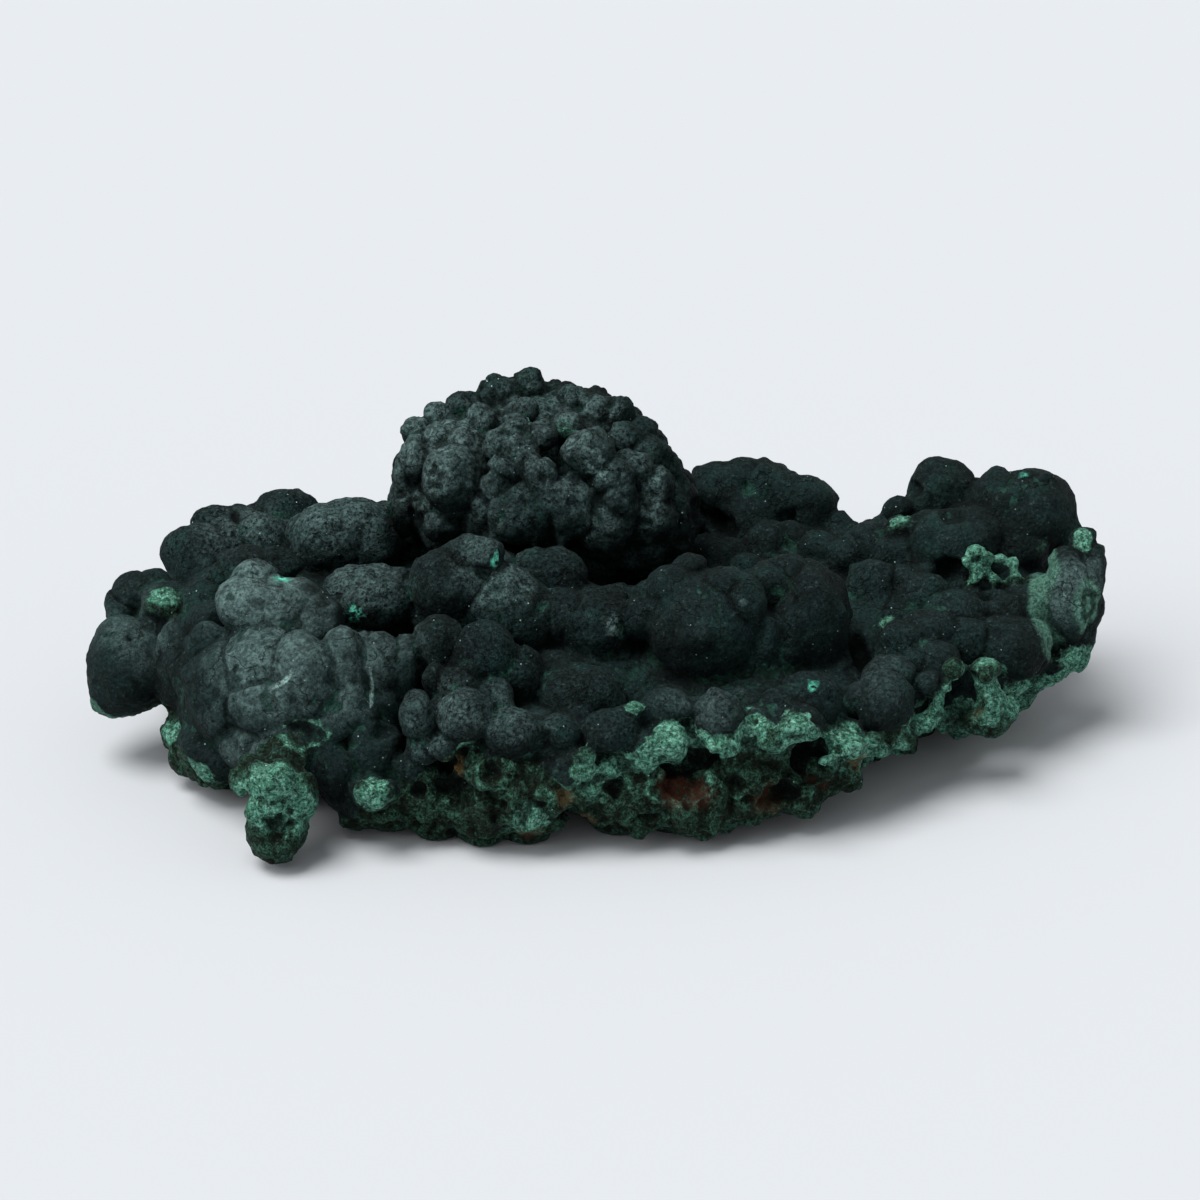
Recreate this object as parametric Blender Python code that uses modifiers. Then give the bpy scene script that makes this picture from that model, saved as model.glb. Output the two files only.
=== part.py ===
"""A hand-sized lump of botryoidal malachite: rounded lobes grown together on a rough, porous bed.

The lump is one natural piece, so it is one solid. Its lobes are ellipsoids that are fused, roughened,
hollowed where the bed is broken, and cut flat underneath so that the lump rests steadily.
X runs along the lump, +Y runs to its back and +Z is up. Sizes in the tables are millimetres.
"""

import math
import random

import bmesh
import bpy
from mathutils import Matrix, Vector, noise

MM = 0.001

# Driving sizes, in millimetres
LENGTH = 180.0              # longest side of the finished lump
FUSE_VOXEL = 0.9            # how closely the fused skin follows the lobes
HOLLOW_VOXEL = 0.8          # the same, once the hollows are cut
PIT_VOXEL = 0.5             # the same, for the cutter of the hollows
SKIN_ROUGHNESS = 0.35       # height of the low swellings over every lobe
SWELLING_WIDTH = 7.0        # distance from one swelling to the next
SMALL_SWELLING_WIDTH = 2.8  # the same, for smaller ones that are half as high
SKIN_TRIANGLES = 9800       # triangles left in the skin before the base is cut
FLOOR_DEPTH = 30.0          # depth of the block that cuts the base flat
FLOOR_SPREAD = 1.5          # side of that block, as a share of the lump's length
SHARP_ANGLE = 50            # degrees between two faces that still shade as one
LOBE_DETAIL = 3             # subdivisions of the ball that a lobe is made from
KNOB_DETAIL = 2             # the same, for the small ones
CORE_DETAIL = 4             # the same, for the large ones inside
GOLDEN_ANGLE = math.pi * (3 - math.sqrt(5))     # spreads points evenly when each turns this far on

# Counts and sizes of what is spread over the stone by rule: (least, greatest), in millimetres or shares
DOME_KNOBS = 110            # knobs all round the great dome
DOME_KNOB_RADIUS = (2.2, 3.8)
DOME_KNOB_HEIGHT = (0.8, 1.1)       # as a share of the knob's radius
DOME_KNOB_TOP = 0.97                # rise of the first knob, as a share of the dome's half height
DOME_KNOB_FALL = 0.95               # how far the last one lies below it
DOME_FACE_START = 4.0               # the face's own knobs begin this far in front of the dome's middle
BACK_LOBES = 15             # lobes in each row along the hidden back
BACK_STRAY = 1.5                    # how far a lobe strays from its row, each way
BACK_LOBE_DEPTH = 0.9               # as a share of the lobe's radius
BACK_LOBE_HEIGHT = (0.8, 1.0)
BACK_KNOBS = 3              # knobs on each of them
BACK_KNOB_RADIUS = (0.25, 0.45)     # as a share of the lobe's radius
BACK_KNOB_OUT = 0.85                # distance from the lobe's middle, as the same share
BACK_KNOB_SIDE = ((-1, 1), (0.2, 1), (-0.6, 1))     # which way a knob points: along, back and up
WALL_LUMPS = 110            # small lumps on the broken front wall
WALL_LUMP_RADIUS = (1.0, 2.4)
WALL_LUMP_HEIGHT = (0.7, 1.1)
UNDER_LUMPS = 30            # lumps under each part of the bed
UNDER_LUMP_RADIUS = (2.4, 4.8)
UNDER_LUMP_TOP = -0.2               # rise of the highest, as a share of the part's half height
WALL_PITS = 26              # pits in the broken front wall
WALL_PIT_RADIUS = (1.0, 1.9)
WALL_PIT_HEIGHT = 0.8
WALL_PIT_DEPTH = 0.5                # how far a pit's middle lies outside the wall
WALL_ACROSS = (-0.8, 0.8)           # reach over a wall lobe, as shares of its half sizes
WALL_UP = (-0.75, 0.8)

STONE_COLOUR = (0.035, 0.060, 0.055, 1.0)
STONE_ROUGHNESS = 0.78

# A lobe is (x, y, z, half width, half height): its half depth is the mean of the two.
GREAT_DOME = [
    (-11.5, 29, 33.5, 24, 19.5), (-12, 28, 45, 18, 10), (4, 20, 36, 13, 12), (-24, 20, 40, 12, 13),
]

DOME_FACE = [
    (-13, 30, 56.5, 3, 3), (-18.5, 28, 55.5, 3.5, 3), (-24.5, 26, 54.5, 3, 2.5),
    (-28.5, 24, 52.5, 3, 3), (-32.5, 22, 50, 3, 3), (-4.5, 28, 54, 2.5, 2.5),
    (-1, 26, 53.5, 3, 2.5), (3, 26, 52, 3, 3), (7.5, 24, 49, 3, 3), (-5.5, 16, 53.5, 3, 3),
    (-13, 18, 56, 2.5, 2.5), (-14.5, 13, 55, 3, 2.5), (-10.5, 12, 54, 3, 2.5),
    (-21.5, 20, 53, 3, 3), (-18, 11, 52.5, 2.5, 2.5), (-14.5, 8.5, 52, 3.5, 3),
    (-24, 14, 51, 3, 3), (-29, 18, 50.5, 2.5, 3), (-33, 16, 47, 2.5, 5), (-35, 17, 43, 2, 5),
    (-2, 8, 52, 4.5, 4), (2, 7, 48.5, 3.5, 3.5), (3, 6, 44, 3, 4.5), (4, 16, 51.5, 3, 2.5),
    (8.5, 16, 49, 3, 3), (5.5, 10, 49, 3.5, 3), (9.5, 11, 44, 3.5, 4), (12, 18, 44, 2.5, 5),
    (14, 20, 40, 2.5, 6), (15.5, 22, 35, 2, 5), (-26, 8, 47, 5, 6), (-28, 8, 38.5, 3, 3),
    (-35, 16, 38, 3, 5), (-16.5, 7, 49.5, 3, 2.5), (-10.5, 5.5, 49, 3, 3), (-18.5, 6, 46, 3, 3),
    (-20, 6, 41.5, 3.5, 4.5), (-14, 5.5, 42, 7, 5.5), (-6.5, 5.5, 43, 6, 5.5),
    (0.5, 6.5, 40, 5.5, 5.5), (8, 10, 39, 5, 5.5), (-9.5, 7.5, 37.5, 5, 3.5),
    (1, 9, 34.5, 4.5, 3), (6.5, 11, 35, 5, 4), (11.5, 16, 32.5, 4, 4),
]

BEHIND_DOME = [
    (23, 40, 31.5, 6.5, 5), (31, 40, 32, 5.5, 5), (27, 41, 33.5, 4.5, 3.5), (39, 37, 30, 5, 5),
    (34.5, 38, 30.5, 5, 5), (30.5, 27, 26, 4, 4.5), (35.5, 28, 27.5, 3, 3),
    (40, 25, 26.5, 4.5, 3), (26.5, 18, 26, 3, 2.5), (22, 26, 24, 6, 4),
]

RIGHT_CREST = [
    (63, 33, 34.5, 6.5, 5.5), (69.5, 33, 34.5, 2, 2), (59.5, 30, 33, 3.5, 3.5),
    (78.5, 25, 33, 8.5, 8.5), (73, 27, 34.8, 5, 6), (83.5, 23, 30.5, 4.5, 5),
    (64, 18, 31, 8.5, 6), (59, 21, 31, 4.5, 4), (69.5, 19, 31.5, 4.5, 4.5),
    (54.5, 27, 33, 2.5, 2.5), (54.5, 21, 33, 2.5, 1.5), (56.5, 19, 33, 2, 1.5),
    (49.5, 22, 28.5, 4.5, 4), (53.5, 19, 28, 5, 4), (45, 21, 26.5, 3.5, 3.5),
]

RIGHT_FACE = [
    (49, 9, 26.5, 5, 4.5), (54.5, 9, 27, 3.5, 3), (58, 5, 26, 5, 4.5), (62.5, 0, 25, 5.5, 3.5),
    (70.5, 3, 24, 5.5, 3.5), (75, 5, 23.5, 4.5, 4), (83.5, 7, 24.5, 4.5, 8.5),
    (87, 9, 25, 3.5, 8), (86.5, 8, 17.5, 3, 5.5), (86.5, 11, 34, 2.5, 2.5),
    (84, 10, 30.5, 4, 2.5), (57.5, -6, 24, 5.5, 4), (52.5, -9, 24, 4, 3.5),
    (63.5, -6, 23, 5, 3.5), (71.5, -4, 20, 7.5, 5.5), (77.5, -2, 19, 2.5, 5),
    (68.5, -4, 21.5, 5.5, 4), (58.5, -13, 21.5, 4.5, 3.5), (50, -18, 21.5, 4.5, 3.5),
    (48.5, -23, 18.5, 5.5, 6), (44.5, -22, 18, 2.5, 4.5), (57, -19, 20.5, 2.5, 2),
    (54.5, -14, 22, 2.5, 2), (81.5, 0, 14, 3, 2.5), (85, 4, 14.5, 3, 3.5),
    (88.2, 9.5, 31, 2.2, 3.4),
]

RIGHT_EDGE = [
    (66, -17, 22, 2.5, 2.5), (61.5, -18, 23, 2, 2), (59.5, -19, 20, 2, 1.5),
    (67.5, -16, 16.5, 3, 4.5), (71, -14, 13, 2.5, 3), (68, -15, 11.5, 3.5, 3),
    (64.5, -16, 11.5, 2.5, 2.5), (58.5, -19, 16.5, 1.5, 3), (55.5, -21, 14, 2.5, 2),
    (52, -25, 13, 2.5, 2), (48, -27, 13, 2.5, 2), (45.5, -28, 12.5, 2.5, 2),
]

CENTRE_RIGHT = [
    (18, -13, 28.5, 10.5, 10), (6.5, -13, 30, 3, 4), (15.5, -8.5, 38, 3, 2.5),
    (21.5, -14, 37, 4, 3), (12, -12, 36, 4, 3.5), (24.5, -15, 33.5, 4, 5.5),
    (29, -10, 35, 4.5, 4), (32.5, -8, 35.5, 4.5, 4), (36, -6, 33.5, 4, 4),
    (36, -9.5, 28.5, 6.5, 10), (32.5, -13, 27.5, 3.5, 8), (40, -7, 27, 3.5, 8),
    (29, -16, 27, 2, 6),
]

MIDDLE = [
    (-25, -12, 36, 7, 7), (-17, -13, 33, 8, 6.5), (-21.5, -12, 42, 5, 3),
    (-13.5, -15, 30.5, 6, 4.5), (-29, -10, 35.5, 3.5, 4.5), (-9, -3, 34, 6.5, 4.5),
    (-6, -6, 31, 3, 2.5), (-1.5, -14, 29.5, 6.5, 5.5), (-7, -14, 31, 4.5, 4.5),
    (1, -8, 30.5, 4, 3), (4, -12, 27.5, 2, 2.5), (-27.5, -24, 31, 4, 4.5), (-19.5, -26, 30, 5, 5),
    (-13, -26, 26, 3.5, 4.5), (-3.5, -27, 23, 7, 4.5), (0.5, -28, 21.5, 4, 4),
    (-17.5, -33, 25, 3, 3), (-24, -31, 26.5, 3.5, 3), (-27.5, -30, 27, 2.5, 2.5),
    (-30.5, -37, 23.5, 3, 4.5), (-22.5, -37, 23.5, 4.5, 4.5), (-14.5, -38, 21, 5, 4),
    (-6, -37, 20.5, 3.5, 3), (2, -38, 21.5, 4.5, 3.5), (-4, -33, 21, 3.5, 2.5),
    (-29.5, -37, 17.5, 3.5, 3.5), (-31.5, -37, 14, 3, 2.5), (-26.5, -38, 18.5, 3.5, 2.5),
]

FRONT_ROW = [
    (11, -34, 23.5, 4.5, 3.5), (20, -35, 21.5, 4.5, 5.5), (24, -31, 23, 2.5, 2.5),
    (26, -35, 20.5, 3, 3.5), (15, -33, 21.5, 3, 3), (29.5, -31, 22, 3.5, 3),
    (33, -34, 20.5, 4.5, 3.5), (36, -27, 22, 5.5, 4.5), (42, -29, 16.5, 2.5, 2.5),
    (38.5, -32, 16.5, 2.5, 2), (43, -31, 14, 2, 2), (39.5, -34, 14, 2, 1.5),
    (5.5, -37, 25, 2, 1.5), (11.5, -39, 19.5, 3.5, 3.5), (20.5, -39, 18.5, 3, 3),
    (29, -37, 19.5, 3, 3), (7, -39, 18, 3.5, 4),
]

LEFT_MASS = [
    (-83, -6, 17.5, 7, 9), (-87, -7, 11.5, 2.5, 2.8), (-82.5, 2, 28.5, 3, 3), (-85, 1.5, 25.5, 2.5, 3),
    (-78.5, 4, 28, 3, 3.5), (-76.5, -2, 28, 4, 3), (-69.5, -4, 29, 3.5, 3.5),
    (-73.5, -1, 27.5, 3, 2.5), (-68, -10, 28, 3.5, 3.5), (-73, -8, 18, 5, 9),
    (-64, -24, 21.5, 7, 8), (-67.5, -18, 27.5, 3.5, 4), (-57, -25, 26.5, 7, 6.5),
    (-50, -29, 27, 4.5, 7.5), (-59, -13, 37, 4, 4), (-61, -18, 35, 5, 4.5),
    (-54.5, -17, 34, 5.5, 5), (-47.5, -19, 32, 4, 4.5), (-51, -15, 34, 4, 3.5),
    (-43, -27, 28, 3.5, 6.5), (-37, -26, 27.5, 3, 5.5), (-33, -25, 26.5, 2.5, 5.5),
    (-42, -30, 21.5, 4.5, 4.5), (-36.5, -27, 21, 3.5, 4), (-45.5, -32, 19.5, 4.5, 3.5),
    (-55.5, -29, 22, 7.5, 5.5), (-48.5, -31, 22, 3.5, 4),
]

LEFT_APRON = [
    (-67, -22, 10, 6.5, 5), (-74.5, -14, 9, 2.5, 3.5), (-73, -17, 5.5, 2.5, 3),
    (-70, -19.5, 4.5, 3, 3), (-66.5, -23, 5.5, 3, 3), (-56, -30, 14.5, 8.5, 5),
    (-45.5, -33, 13.5, 6, 5), (-38.5, -33, 15.5, 5, 5), (-50.5, -33, 14.5, 5, 4),
    (-38, -40.5, 10.5, 3, 2.5), (-35.5, -41, 11, 1.5, 1.5),
]

FRONT_FOOT = [
    (-54.5, -45, 16, 4.5, 3.5), (-58.5, -42, 17, 2, 2), (-50, -43, 12, 3.5, 4.5),
    (-54, -45, 6.5, 5.2, 6), (-60, -44, 14.5, 2, 2), (-55.5, -46, 11, 3.5, 3.5),
    (-53, -38, 12, 5, 7),
]

UPPER_LEFT = [
    (-58, 31, 31.5, 6.5, 3.5), (-63.5, 31, 30, 4, 2.5), (-70.5, 26, 31, 4.5, 3),
    (-65.5, 27, 31.5, 3.5, 2.5), (-72, 17, 29, 6.5, 5.5), (-67, 17, 31, 3.5, 3.5),
    (-68.5, 20, 33, 2, 1.5), (-61, 18, 32, 4.5, 4), (-75.5, 16, 28, 3, 5),
    (-48.5, 12, 33.5, 7, 6.5), (-41, 13, 33, 5.5, 6.5), (-44.5, 13, 38, 5.5, 3),
    (-53.5, 15, 34, 3, 3.5), (-62.5, 0, 34.5, 5, 3), (-57, 0, 34, 4.5, 3.5),
    (-66.5, 0, 32, 3, 2.5), (-40, -8, 31.5, 8, 6), (-44, -7, 32.5, 4.5, 4), (-35.5, -8, 31, 4, 5),
]

FRONT_WALL = [
    (-18.5, -37, 10.5, 7, 8), (-11.5, -36.5, 10, 6.5, 7.5), (-5, -35, 13, 6, 7),
    (-27, -33, 8, 8, 6.5), (-37.5, -31, 8, 9, 7), (1, -34, 11, 7.5, 7.5),
    (7.5, -35, 8.5, 7.5, 7.5), (15, -34.5, 8.5, 7.5, 7.5), (23.5, -32.5, 8.5, 7.5, 7.5),
    (32, -28.5, 8.5, 7.5, 7), (39, -25, 9, 6, 6),
]

# Low lumps where the front wall meets the ground.
FRONT_TOES = [
    (-36, -31, 3, 5, 4.5), (-28, -34, 3, 5, 4.5), (-20, -36, 3, 5, 4.5), (-12, -35.5, 3, 5, 4.5),
    (3, -32, 3, 5, 4.5), (12, -31.5, 3, 5, 4.5),
]

# Low lobes that fill the ground between the ridges.
VALLEYS = [
    (-76, 10, 17, 6, 6), (-68, 5, 24, 7, 7), (-60, 6, 26, 7, 7), (-60, -7, 30, 6, 6),
    (-52, -6, 25, 7, 6), (-44, 0, 25, 7, 7), (-36, 2, 25, 6, 6), (-28, -2, 29, 7, 7),
    (-20, -1, 31, 7, 7), (4, 0, 24, 6, 6), (12, -2, 26, 7, 7), (20, -2, 25, 7, 7),
    (28, -1, 26, 7, 7), (14, 8, 22, 6, 6), (22, 8, 21, 6, 6), (30, 10, 22, 6, 6),
    (38, 12, 20, 6, 6), (20, 16, 18, 6, 6), (28, 19, 19, 5, 5), (40, 2, 19, 6, 6),
    (46, -4, 18, 6, 6), (48, 4, 16, 5, 5), (44, 32, 18, 7, 7), (52, 30, 18, 7, 6),
    (-50, 22, 25, 8, 8), (-42, 22, 27, 8, 8), (-50, 30, 22, 8, 8), (-40, 32, 24, 8, 8),
    (-68, -14, 20, 6, 6), (66, 6, 21, 6, 6), (60, 12, 23, 6, 6), (70, 12, 18, 6, 6),
    (78, 14, 20, 6, 6), (20, 30, 20, 6, 6), (-36, -19, 22, 6, 6), (-20, -20, 24, 6, 6),
    (-8, -20, 21, 6, 6), (2, -20, 18, 6, 5), (4, -31, 16, 6, 5), (12, -24, 17, 6, 5),
    (24, -24, 17, 6, 5), (38, -18, 16, 6, 5), (-10, -32, 17, 6, 5), (56, 38, 22, 6, 6),
    (68, 38, 27, 6, 6),
]

# Each cluster has a core that joins its lobes: (x, y, z, half width, half depth, half height).
CORES = [
    (-54, -19, 23, 14, 9.5, 11), (-40, -22, 22, 9, 7, 10), (-45, -28, 17, 13, 6, 7),
    (-62, 20, 25.5, 14, 12, 8), (-45, 13, 28, 10, 7, 9), (-40, -8, 27, 8, 7, 8),
    (-22, -9, 29, 12, 9, 8.5), (-5, -8, 27, 11, 9, 7), (-22, -24, 25, 9, 6, 8),
    (-23, -33, 20, 9, 5, 6), (-6, -31, 17, 14, 8, 6), (20, -31, 17, 16, 8, 6.5),
    (34, -26, 17, 9, 7, 6), (24, -10, 22, 16, 11, 10), (71, 24, 27, 13, 11, 9),
    (64, 4, 20, 16, 10, 7), (51, -11, 18, 8, 10, 6), (79, 9, 20, 7, 7, 9), (30, 40, 26, 14, 9, 9),
    (-76, 0, 21, 7, 8, 8), (-66, -16, 15, 8, 8, 10), (-53, -36, 14, 6, 8, 7),
    (-7, 18, 30, 18, 12, 12),
]

# The bed joins the clusters: (x, y, z, half width, half depth, half height).
BED = [
    (-50, -10, 14, 24, 19, 15), (-12, -8, 12, 36, 26, 16), (24, -4, 12, 32, 27, 13),
    (57, 8, 15, 24, 18, 12), (-12, 25, 13, 38, 22, 16), (34, 26, 14, 34, 18, 12),
    (-50, 14, 17, 26, 20, 14), (64, 22, 22, 18, 13, 11), (2, 2, 6, 50, 28, 9),
]

# The hidden back follows this line of (x, y, z), from the left end to the right end.
BACK_LINE = [
    (-76, 18, 19), (-58, 31, 18), (-34, 42, 17), (-6, 47, 18), (24, 45, 17), (46, 37, 11),
    (60, 35, 19), (76, 27, 20),
]

# The rows of lobes there: (rise above the line, distance in from it, least radius, greatest radius).
BACK_ROWS = [(0, 0, 7, 10), (9, -7, 5, 7.5), (-9, -4, 5, 7)]

# Hollows in the broken edge and in two lobes: (x, y, z, half width, half height).
HOLLOWS = [
    (14, -42.5, 14, 5, 3), (20, -43, 18, 4, 1.8), (31, -38, 12, 5, 2.2), (-26, -43, 13, 4.5, 3.5),
    (-18, -45, 16.5, 3.5, 2), (63, -21, 18, 3.2, 3.4), (63, 16.5, 37, 2.6, 1.6),
    (30.5, -18, 33, 2.6, 3),
]


def clear_scene():
    """Removes whatever the scene holds, so that only the stone is left at the end."""
    for thing in list(bpy.data.objects):
        bpy.data.objects.remove(thing, do_unlink=True)


def new_collection(name):
    collection = bpy.data.collections.new(name)
    bpy.context.scene.collection.children.link(collection)
    return collection


def new_object(name, mesh, collection):
    thing = bpy.data.objects.new(name, mesh)
    collection.objects.link(thing)
    return thing


def stone_material():
    material = bpy.data.materials.new("malachite")
    material.use_nodes = True
    shader = material.node_tree.nodes["Principled BSDF"]
    shader.inputs["Base Color"].default_value = STONE_COLOUR
    shader.inputs["Roughness"].default_value = STONE_ROUGHNESS
    shader.inputs["Metallic"].default_value = 0.0
    material.diffuse_color = STONE_COLOUR
    return material


def unit_ball(detail):
    """A ball of radius 1, made once for each detail and then copied for every lobe."""
    name = f"unit_ball_{detail}"
    if name not in bpy.data.meshes:
        ball = bmesh.new()
        bmesh.ops.create_icosphere(ball, subdivisions=detail, radius=1.0)
        ball.to_mesh(bpy.data.meshes.new(name))
        ball.free()
    return bpy.data.meshes[name]


def add_ellipsoid(shape, middle, halves, detail=LOBE_DETAIL):
    """Adds one round lobe to the bmesh, with its middle and its three half sizes in millimetres."""
    lobe = unit_ball(detail).copy()
    lobe.transform(Matrix.Diagonal((halves[0] * MM, halves[1] * MM, halves[2] * MM, 1.0)))
    lobe.transform(Matrix.Translation(Vector(middle) * MM))
    shape.from_mesh(lobe)
    bpy.data.meshes.remove(lobe)


def add_lobes(shape, lobes, detail=LOBE_DETAIL):
    for x, y, z, half_width, half_height in lobes:
        half_depth = (half_width + half_height) / 2
        add_ellipsoid(shape, (x, y, z), (half_width, half_depth, half_height), detail)


def add_dome_knobs(shape, chance):
    """Spreads knobs evenly over the great dome's sides and back by the golden angle."""
    x, y, z, half_width, half_height = GREAT_DOME[0]
    half_depth = (half_width + half_height) / 2
    for index in range(DOME_KNOBS):
        up = DOME_KNOB_TOP - DOME_KNOB_FALL * index / DOME_KNOBS
        around = index * GOLDEN_ANGLE
        level = math.sqrt(1 - up * up)
        middle = (
            x + half_width * level * math.cos(around),
            y + half_depth * level * math.sin(around),
            z + half_height * up,
        )
        if middle[1] < y - DOME_FACE_START:
            continue
        radius = chance.uniform(*DOME_KNOB_RADIUS)
        height = radius * chance.uniform(*DOME_KNOB_HEIGHT)
        add_ellipsoid(shape, middle, (radius, radius, height), KNOB_DETAIL)


def point_on_line(line, share):
    """The point at this share of the way along a line of points, evenly by point number."""
    place = share * (len(line) - 1)
    first = min(int(place), len(line) - 2)
    return Vector(line[first]).lerp(Vector(line[first + 1]), place - first)


def add_back(shape, chance):
    """Three rows of lobes along the hidden back, one above another, each with smaller knobs on it."""
    for row, (rise, inward, least, most) in enumerate(BACK_ROWS):
        for index in range(BACK_LOBES):
            share = (index + (row % 2) / 2) / (BACK_LOBES - 1 / 2)
            middle = point_on_line(BACK_LINE, share) + Vector((0, inward, rise))
            middle += Vector([chance.uniform(-BACK_STRAY, BACK_STRAY) for _ in range(3)])
            radius = chance.uniform(least, most)
            height = radius * chance.uniform(*BACK_LOBE_HEIGHT)
            add_ellipsoid(shape, middle, (radius, radius * BACK_LOBE_DEPTH, height))
            for _ in range(BACK_KNOBS):
                side = Vector([chance.uniform(*reach) for reach in BACK_KNOB_SIDE])
                knob = radius * chance.uniform(*BACK_KNOB_RADIUS)
                place = middle + side.normalized() * radius * BACK_KNOB_OUT
                add_ellipsoid(shape, place, (knob, knob, knob), KNOB_DETAIL)


def wall_point(chance):
    """A point on the broken front wall: the wall lobe it sits on, pushed out to that lobe's face."""
    x, y, z, half_width, half_height = chance.choice(FRONT_WALL)
    across = chance.uniform(*WALL_ACROSS)
    up = chance.uniform(*WALL_UP)
    out = math.sqrt(max(0, 1 - across * across - up * up))
    half_depth = (half_width + half_height) / 2
    return Vector((x + half_width * across, y - half_depth * out, z + half_height * up))


def add_wall_lumps(shape, chance):
    for _ in range(WALL_LUMPS):
        radius = chance.uniform(*WALL_LUMP_RADIUS)
        place = wall_point(chance)
        height = radius * chance.uniform(*WALL_LUMP_HEIGHT)
        add_ellipsoid(shape, place, (radius, radius, height), KNOB_DETAIL)


def add_under_lumps(shape, chance):
    """Spreads lumps over the undersides of the bed by the golden angle."""
    for x, y, z, half_width, half_depth, half_height in BED:
        for index in range(UNDER_LUMPS):
            up = -1 + (1 + UNDER_LUMP_TOP) * index / UNDER_LUMPS
            around = index * GOLDEN_ANGLE
            level = math.sqrt(1 - up * up)
            place = (
                x + half_width * level * math.cos(around),
                y + half_depth * level * math.sin(around),
                z + half_height * up,
            )
            radius = chance.uniform(*UNDER_LUMP_RADIUS)
            add_ellipsoid(shape, place, (radius, radius, radius), KNOB_DETAIL)


def fused_lobes(chance):
    shape = bmesh.new()
    clusters = [
        GREAT_DOME, DOME_FACE, BEHIND_DOME, RIGHT_CREST, RIGHT_FACE, RIGHT_EDGE, CENTRE_RIGHT, MIDDLE,
        FRONT_ROW, LEFT_MASS, LEFT_APRON, FRONT_FOOT, UPPER_LEFT, FRONT_WALL, FRONT_TOES, VALLEYS,
    ]
    for cluster in clusters:
        add_lobes(shape, cluster)
    for x, y, z, half_width, half_depth, half_height in CORES + BED:
        add_ellipsoid(shape, (x, y, z), (half_width, half_depth, half_height), CORE_DETAIL)
    add_dome_knobs(shape, chance)
    add_back(shape, chance)
    add_wall_lumps(shape, chance)
    add_under_lumps(shape, chance)
    mesh = bpy.data.meshes.new("lobes")
    shape.to_mesh(mesh)
    shape.free()
    return mesh


def hollow_cutter(chance, collection):
    """The named hollows and many small pits, as one cutter."""
    shape = bmesh.new()
    add_lobes(shape, HOLLOWS, KNOB_DETAIL)
    for _ in range(WALL_PITS):
        radius = chance.uniform(*WALL_PIT_RADIUS)
        middle = wall_point(chance) - Vector((0, WALL_PIT_DEPTH, 0))
        add_ellipsoid(shape, middle, (radius, radius, radius * WALL_PIT_HEIGHT), KNOB_DETAIL)
    mesh = bpy.data.meshes.new("hollow_cutter")
    shape.to_mesh(mesh)
    shape.free()
    pits = new_object("hollow_cutter", mesh, collection)
    fuse(pits, PIT_VOXEL)
    return pits


def floor_cutter(collection):
    """A block whose top is the plane that the stone rests on."""
    shape = bmesh.new()
    side = LENGTH * FLOOR_SPREAD
    size = Matrix.Diagonal((side * MM, side * MM, FLOOR_DEPTH * MM, 1.0))
    place = Matrix.Translation(Vector((0, 0, -FLOOR_DEPTH / 2)) * MM)
    bmesh.ops.create_cube(shape, size=1.0, matrix=place @ size)
    mesh = bpy.data.meshes.new("floor_cutter")
    shape.to_mesh(mesh)
    shape.free()
    return new_object("floor_cutter", mesh, collection)


def apply_modifiers(thing):
    """Works the object's modifiers into its mesh, and takes them off."""
    graph = bpy.context.evaluated_depsgraph_get()
    mesh = bpy.data.meshes.new_from_object(thing.evaluated_get(graph))
    thing.modifiers.clear()
    thing.data = mesh


def cut(thing, cutter, name):
    modifier = thing.modifiers.new(name, "BOOLEAN")
    modifier.operation = "DIFFERENCE"
    modifier.solver = "EXACT"
    modifier.object = cutter
    apply_modifiers(thing)


def fuse(thing, voxel):
    """Makes one closed skin of everything in the object, with faces about this many millimetres wide."""
    modifier = thing.modifiers.new("fuse", "REMESH")
    modifier.mode = "VOXEL"
    modifier.voxel_size = voxel * MM
    apply_modifiers(thing)


def thin_to(thing, triangles):
    thing.data.calc_loop_triangles()
    modifier = thing.modifiers.new("thin", "DECIMATE")
    modifier.ratio = triangles / len(thing.data.loop_triangles)
    apply_modifiers(thing)


def swell(mesh):
    """Raises and lowers the skin along its normals by a smooth noise, so no lobe is a perfect round."""
    moved = []
    for vertex in mesh.vertices:
        height = noise.noise(vertex.co / (SWELLING_WIDTH * MM))
        height += noise.noise(vertex.co / (SMALL_SWELLING_WIDTH * MM)) / 2
        moved.append(vertex.co + vertex.normal * height * SKIN_ROUGHNESS * MM)
    for vertex, place in zip(mesh.vertices, moved):
        vertex.co = place


def centre_on_box(mesh):
    """Moves and scales the mesh so that its box is centred in X and Y and has the stated length."""
    across = [vertex.co.x for vertex in mesh.vertices]
    deep = [vertex.co.y for vertex in mesh.vertices]
    middle = Vector(((min(across) + max(across)) / 2, (min(deep) + max(deep)) / 2, 0))
    scale = LENGTH * MM / (max(across) - min(across))
    mesh.transform(Matrix.Diagonal((scale, scale, scale, 1.0)) @ Matrix.Translation(-middle))


def build():
    clear_scene()
    stone_parts = new_collection("malachite_specimen")
    cutters = new_collection("cutters")
    cutters.hide_render = True
    chance = random.Random(7)

    stone = new_object("malachite", fused_lobes(chance), stone_parts)
    fuse(stone, FUSE_VOXEL)
    swell(stone.data)

    pits = hollow_cutter(chance, cutters)
    floor = floor_cutter(cutters)
    for cutter in (pits, floor):
        cutter.hide_render = True
        cutter.display_type = "WIRE"
    cut(stone, pits, "hollows")
    fuse(stone, HOLLOW_VOXEL)
    thin_to(stone, SKIN_TRIANGLES)
    cut(stone, floor, "flat base")
    centre_on_box(stone.data)
    stone.data.shade_smooth()
    stone.data.set_sharp_from_angle(angle=math.radians(SHARP_ANGLE))
    stone.data.materials.clear()
    stone.data.materials.append(stone_material())


build()
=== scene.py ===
import math
import random

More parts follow.
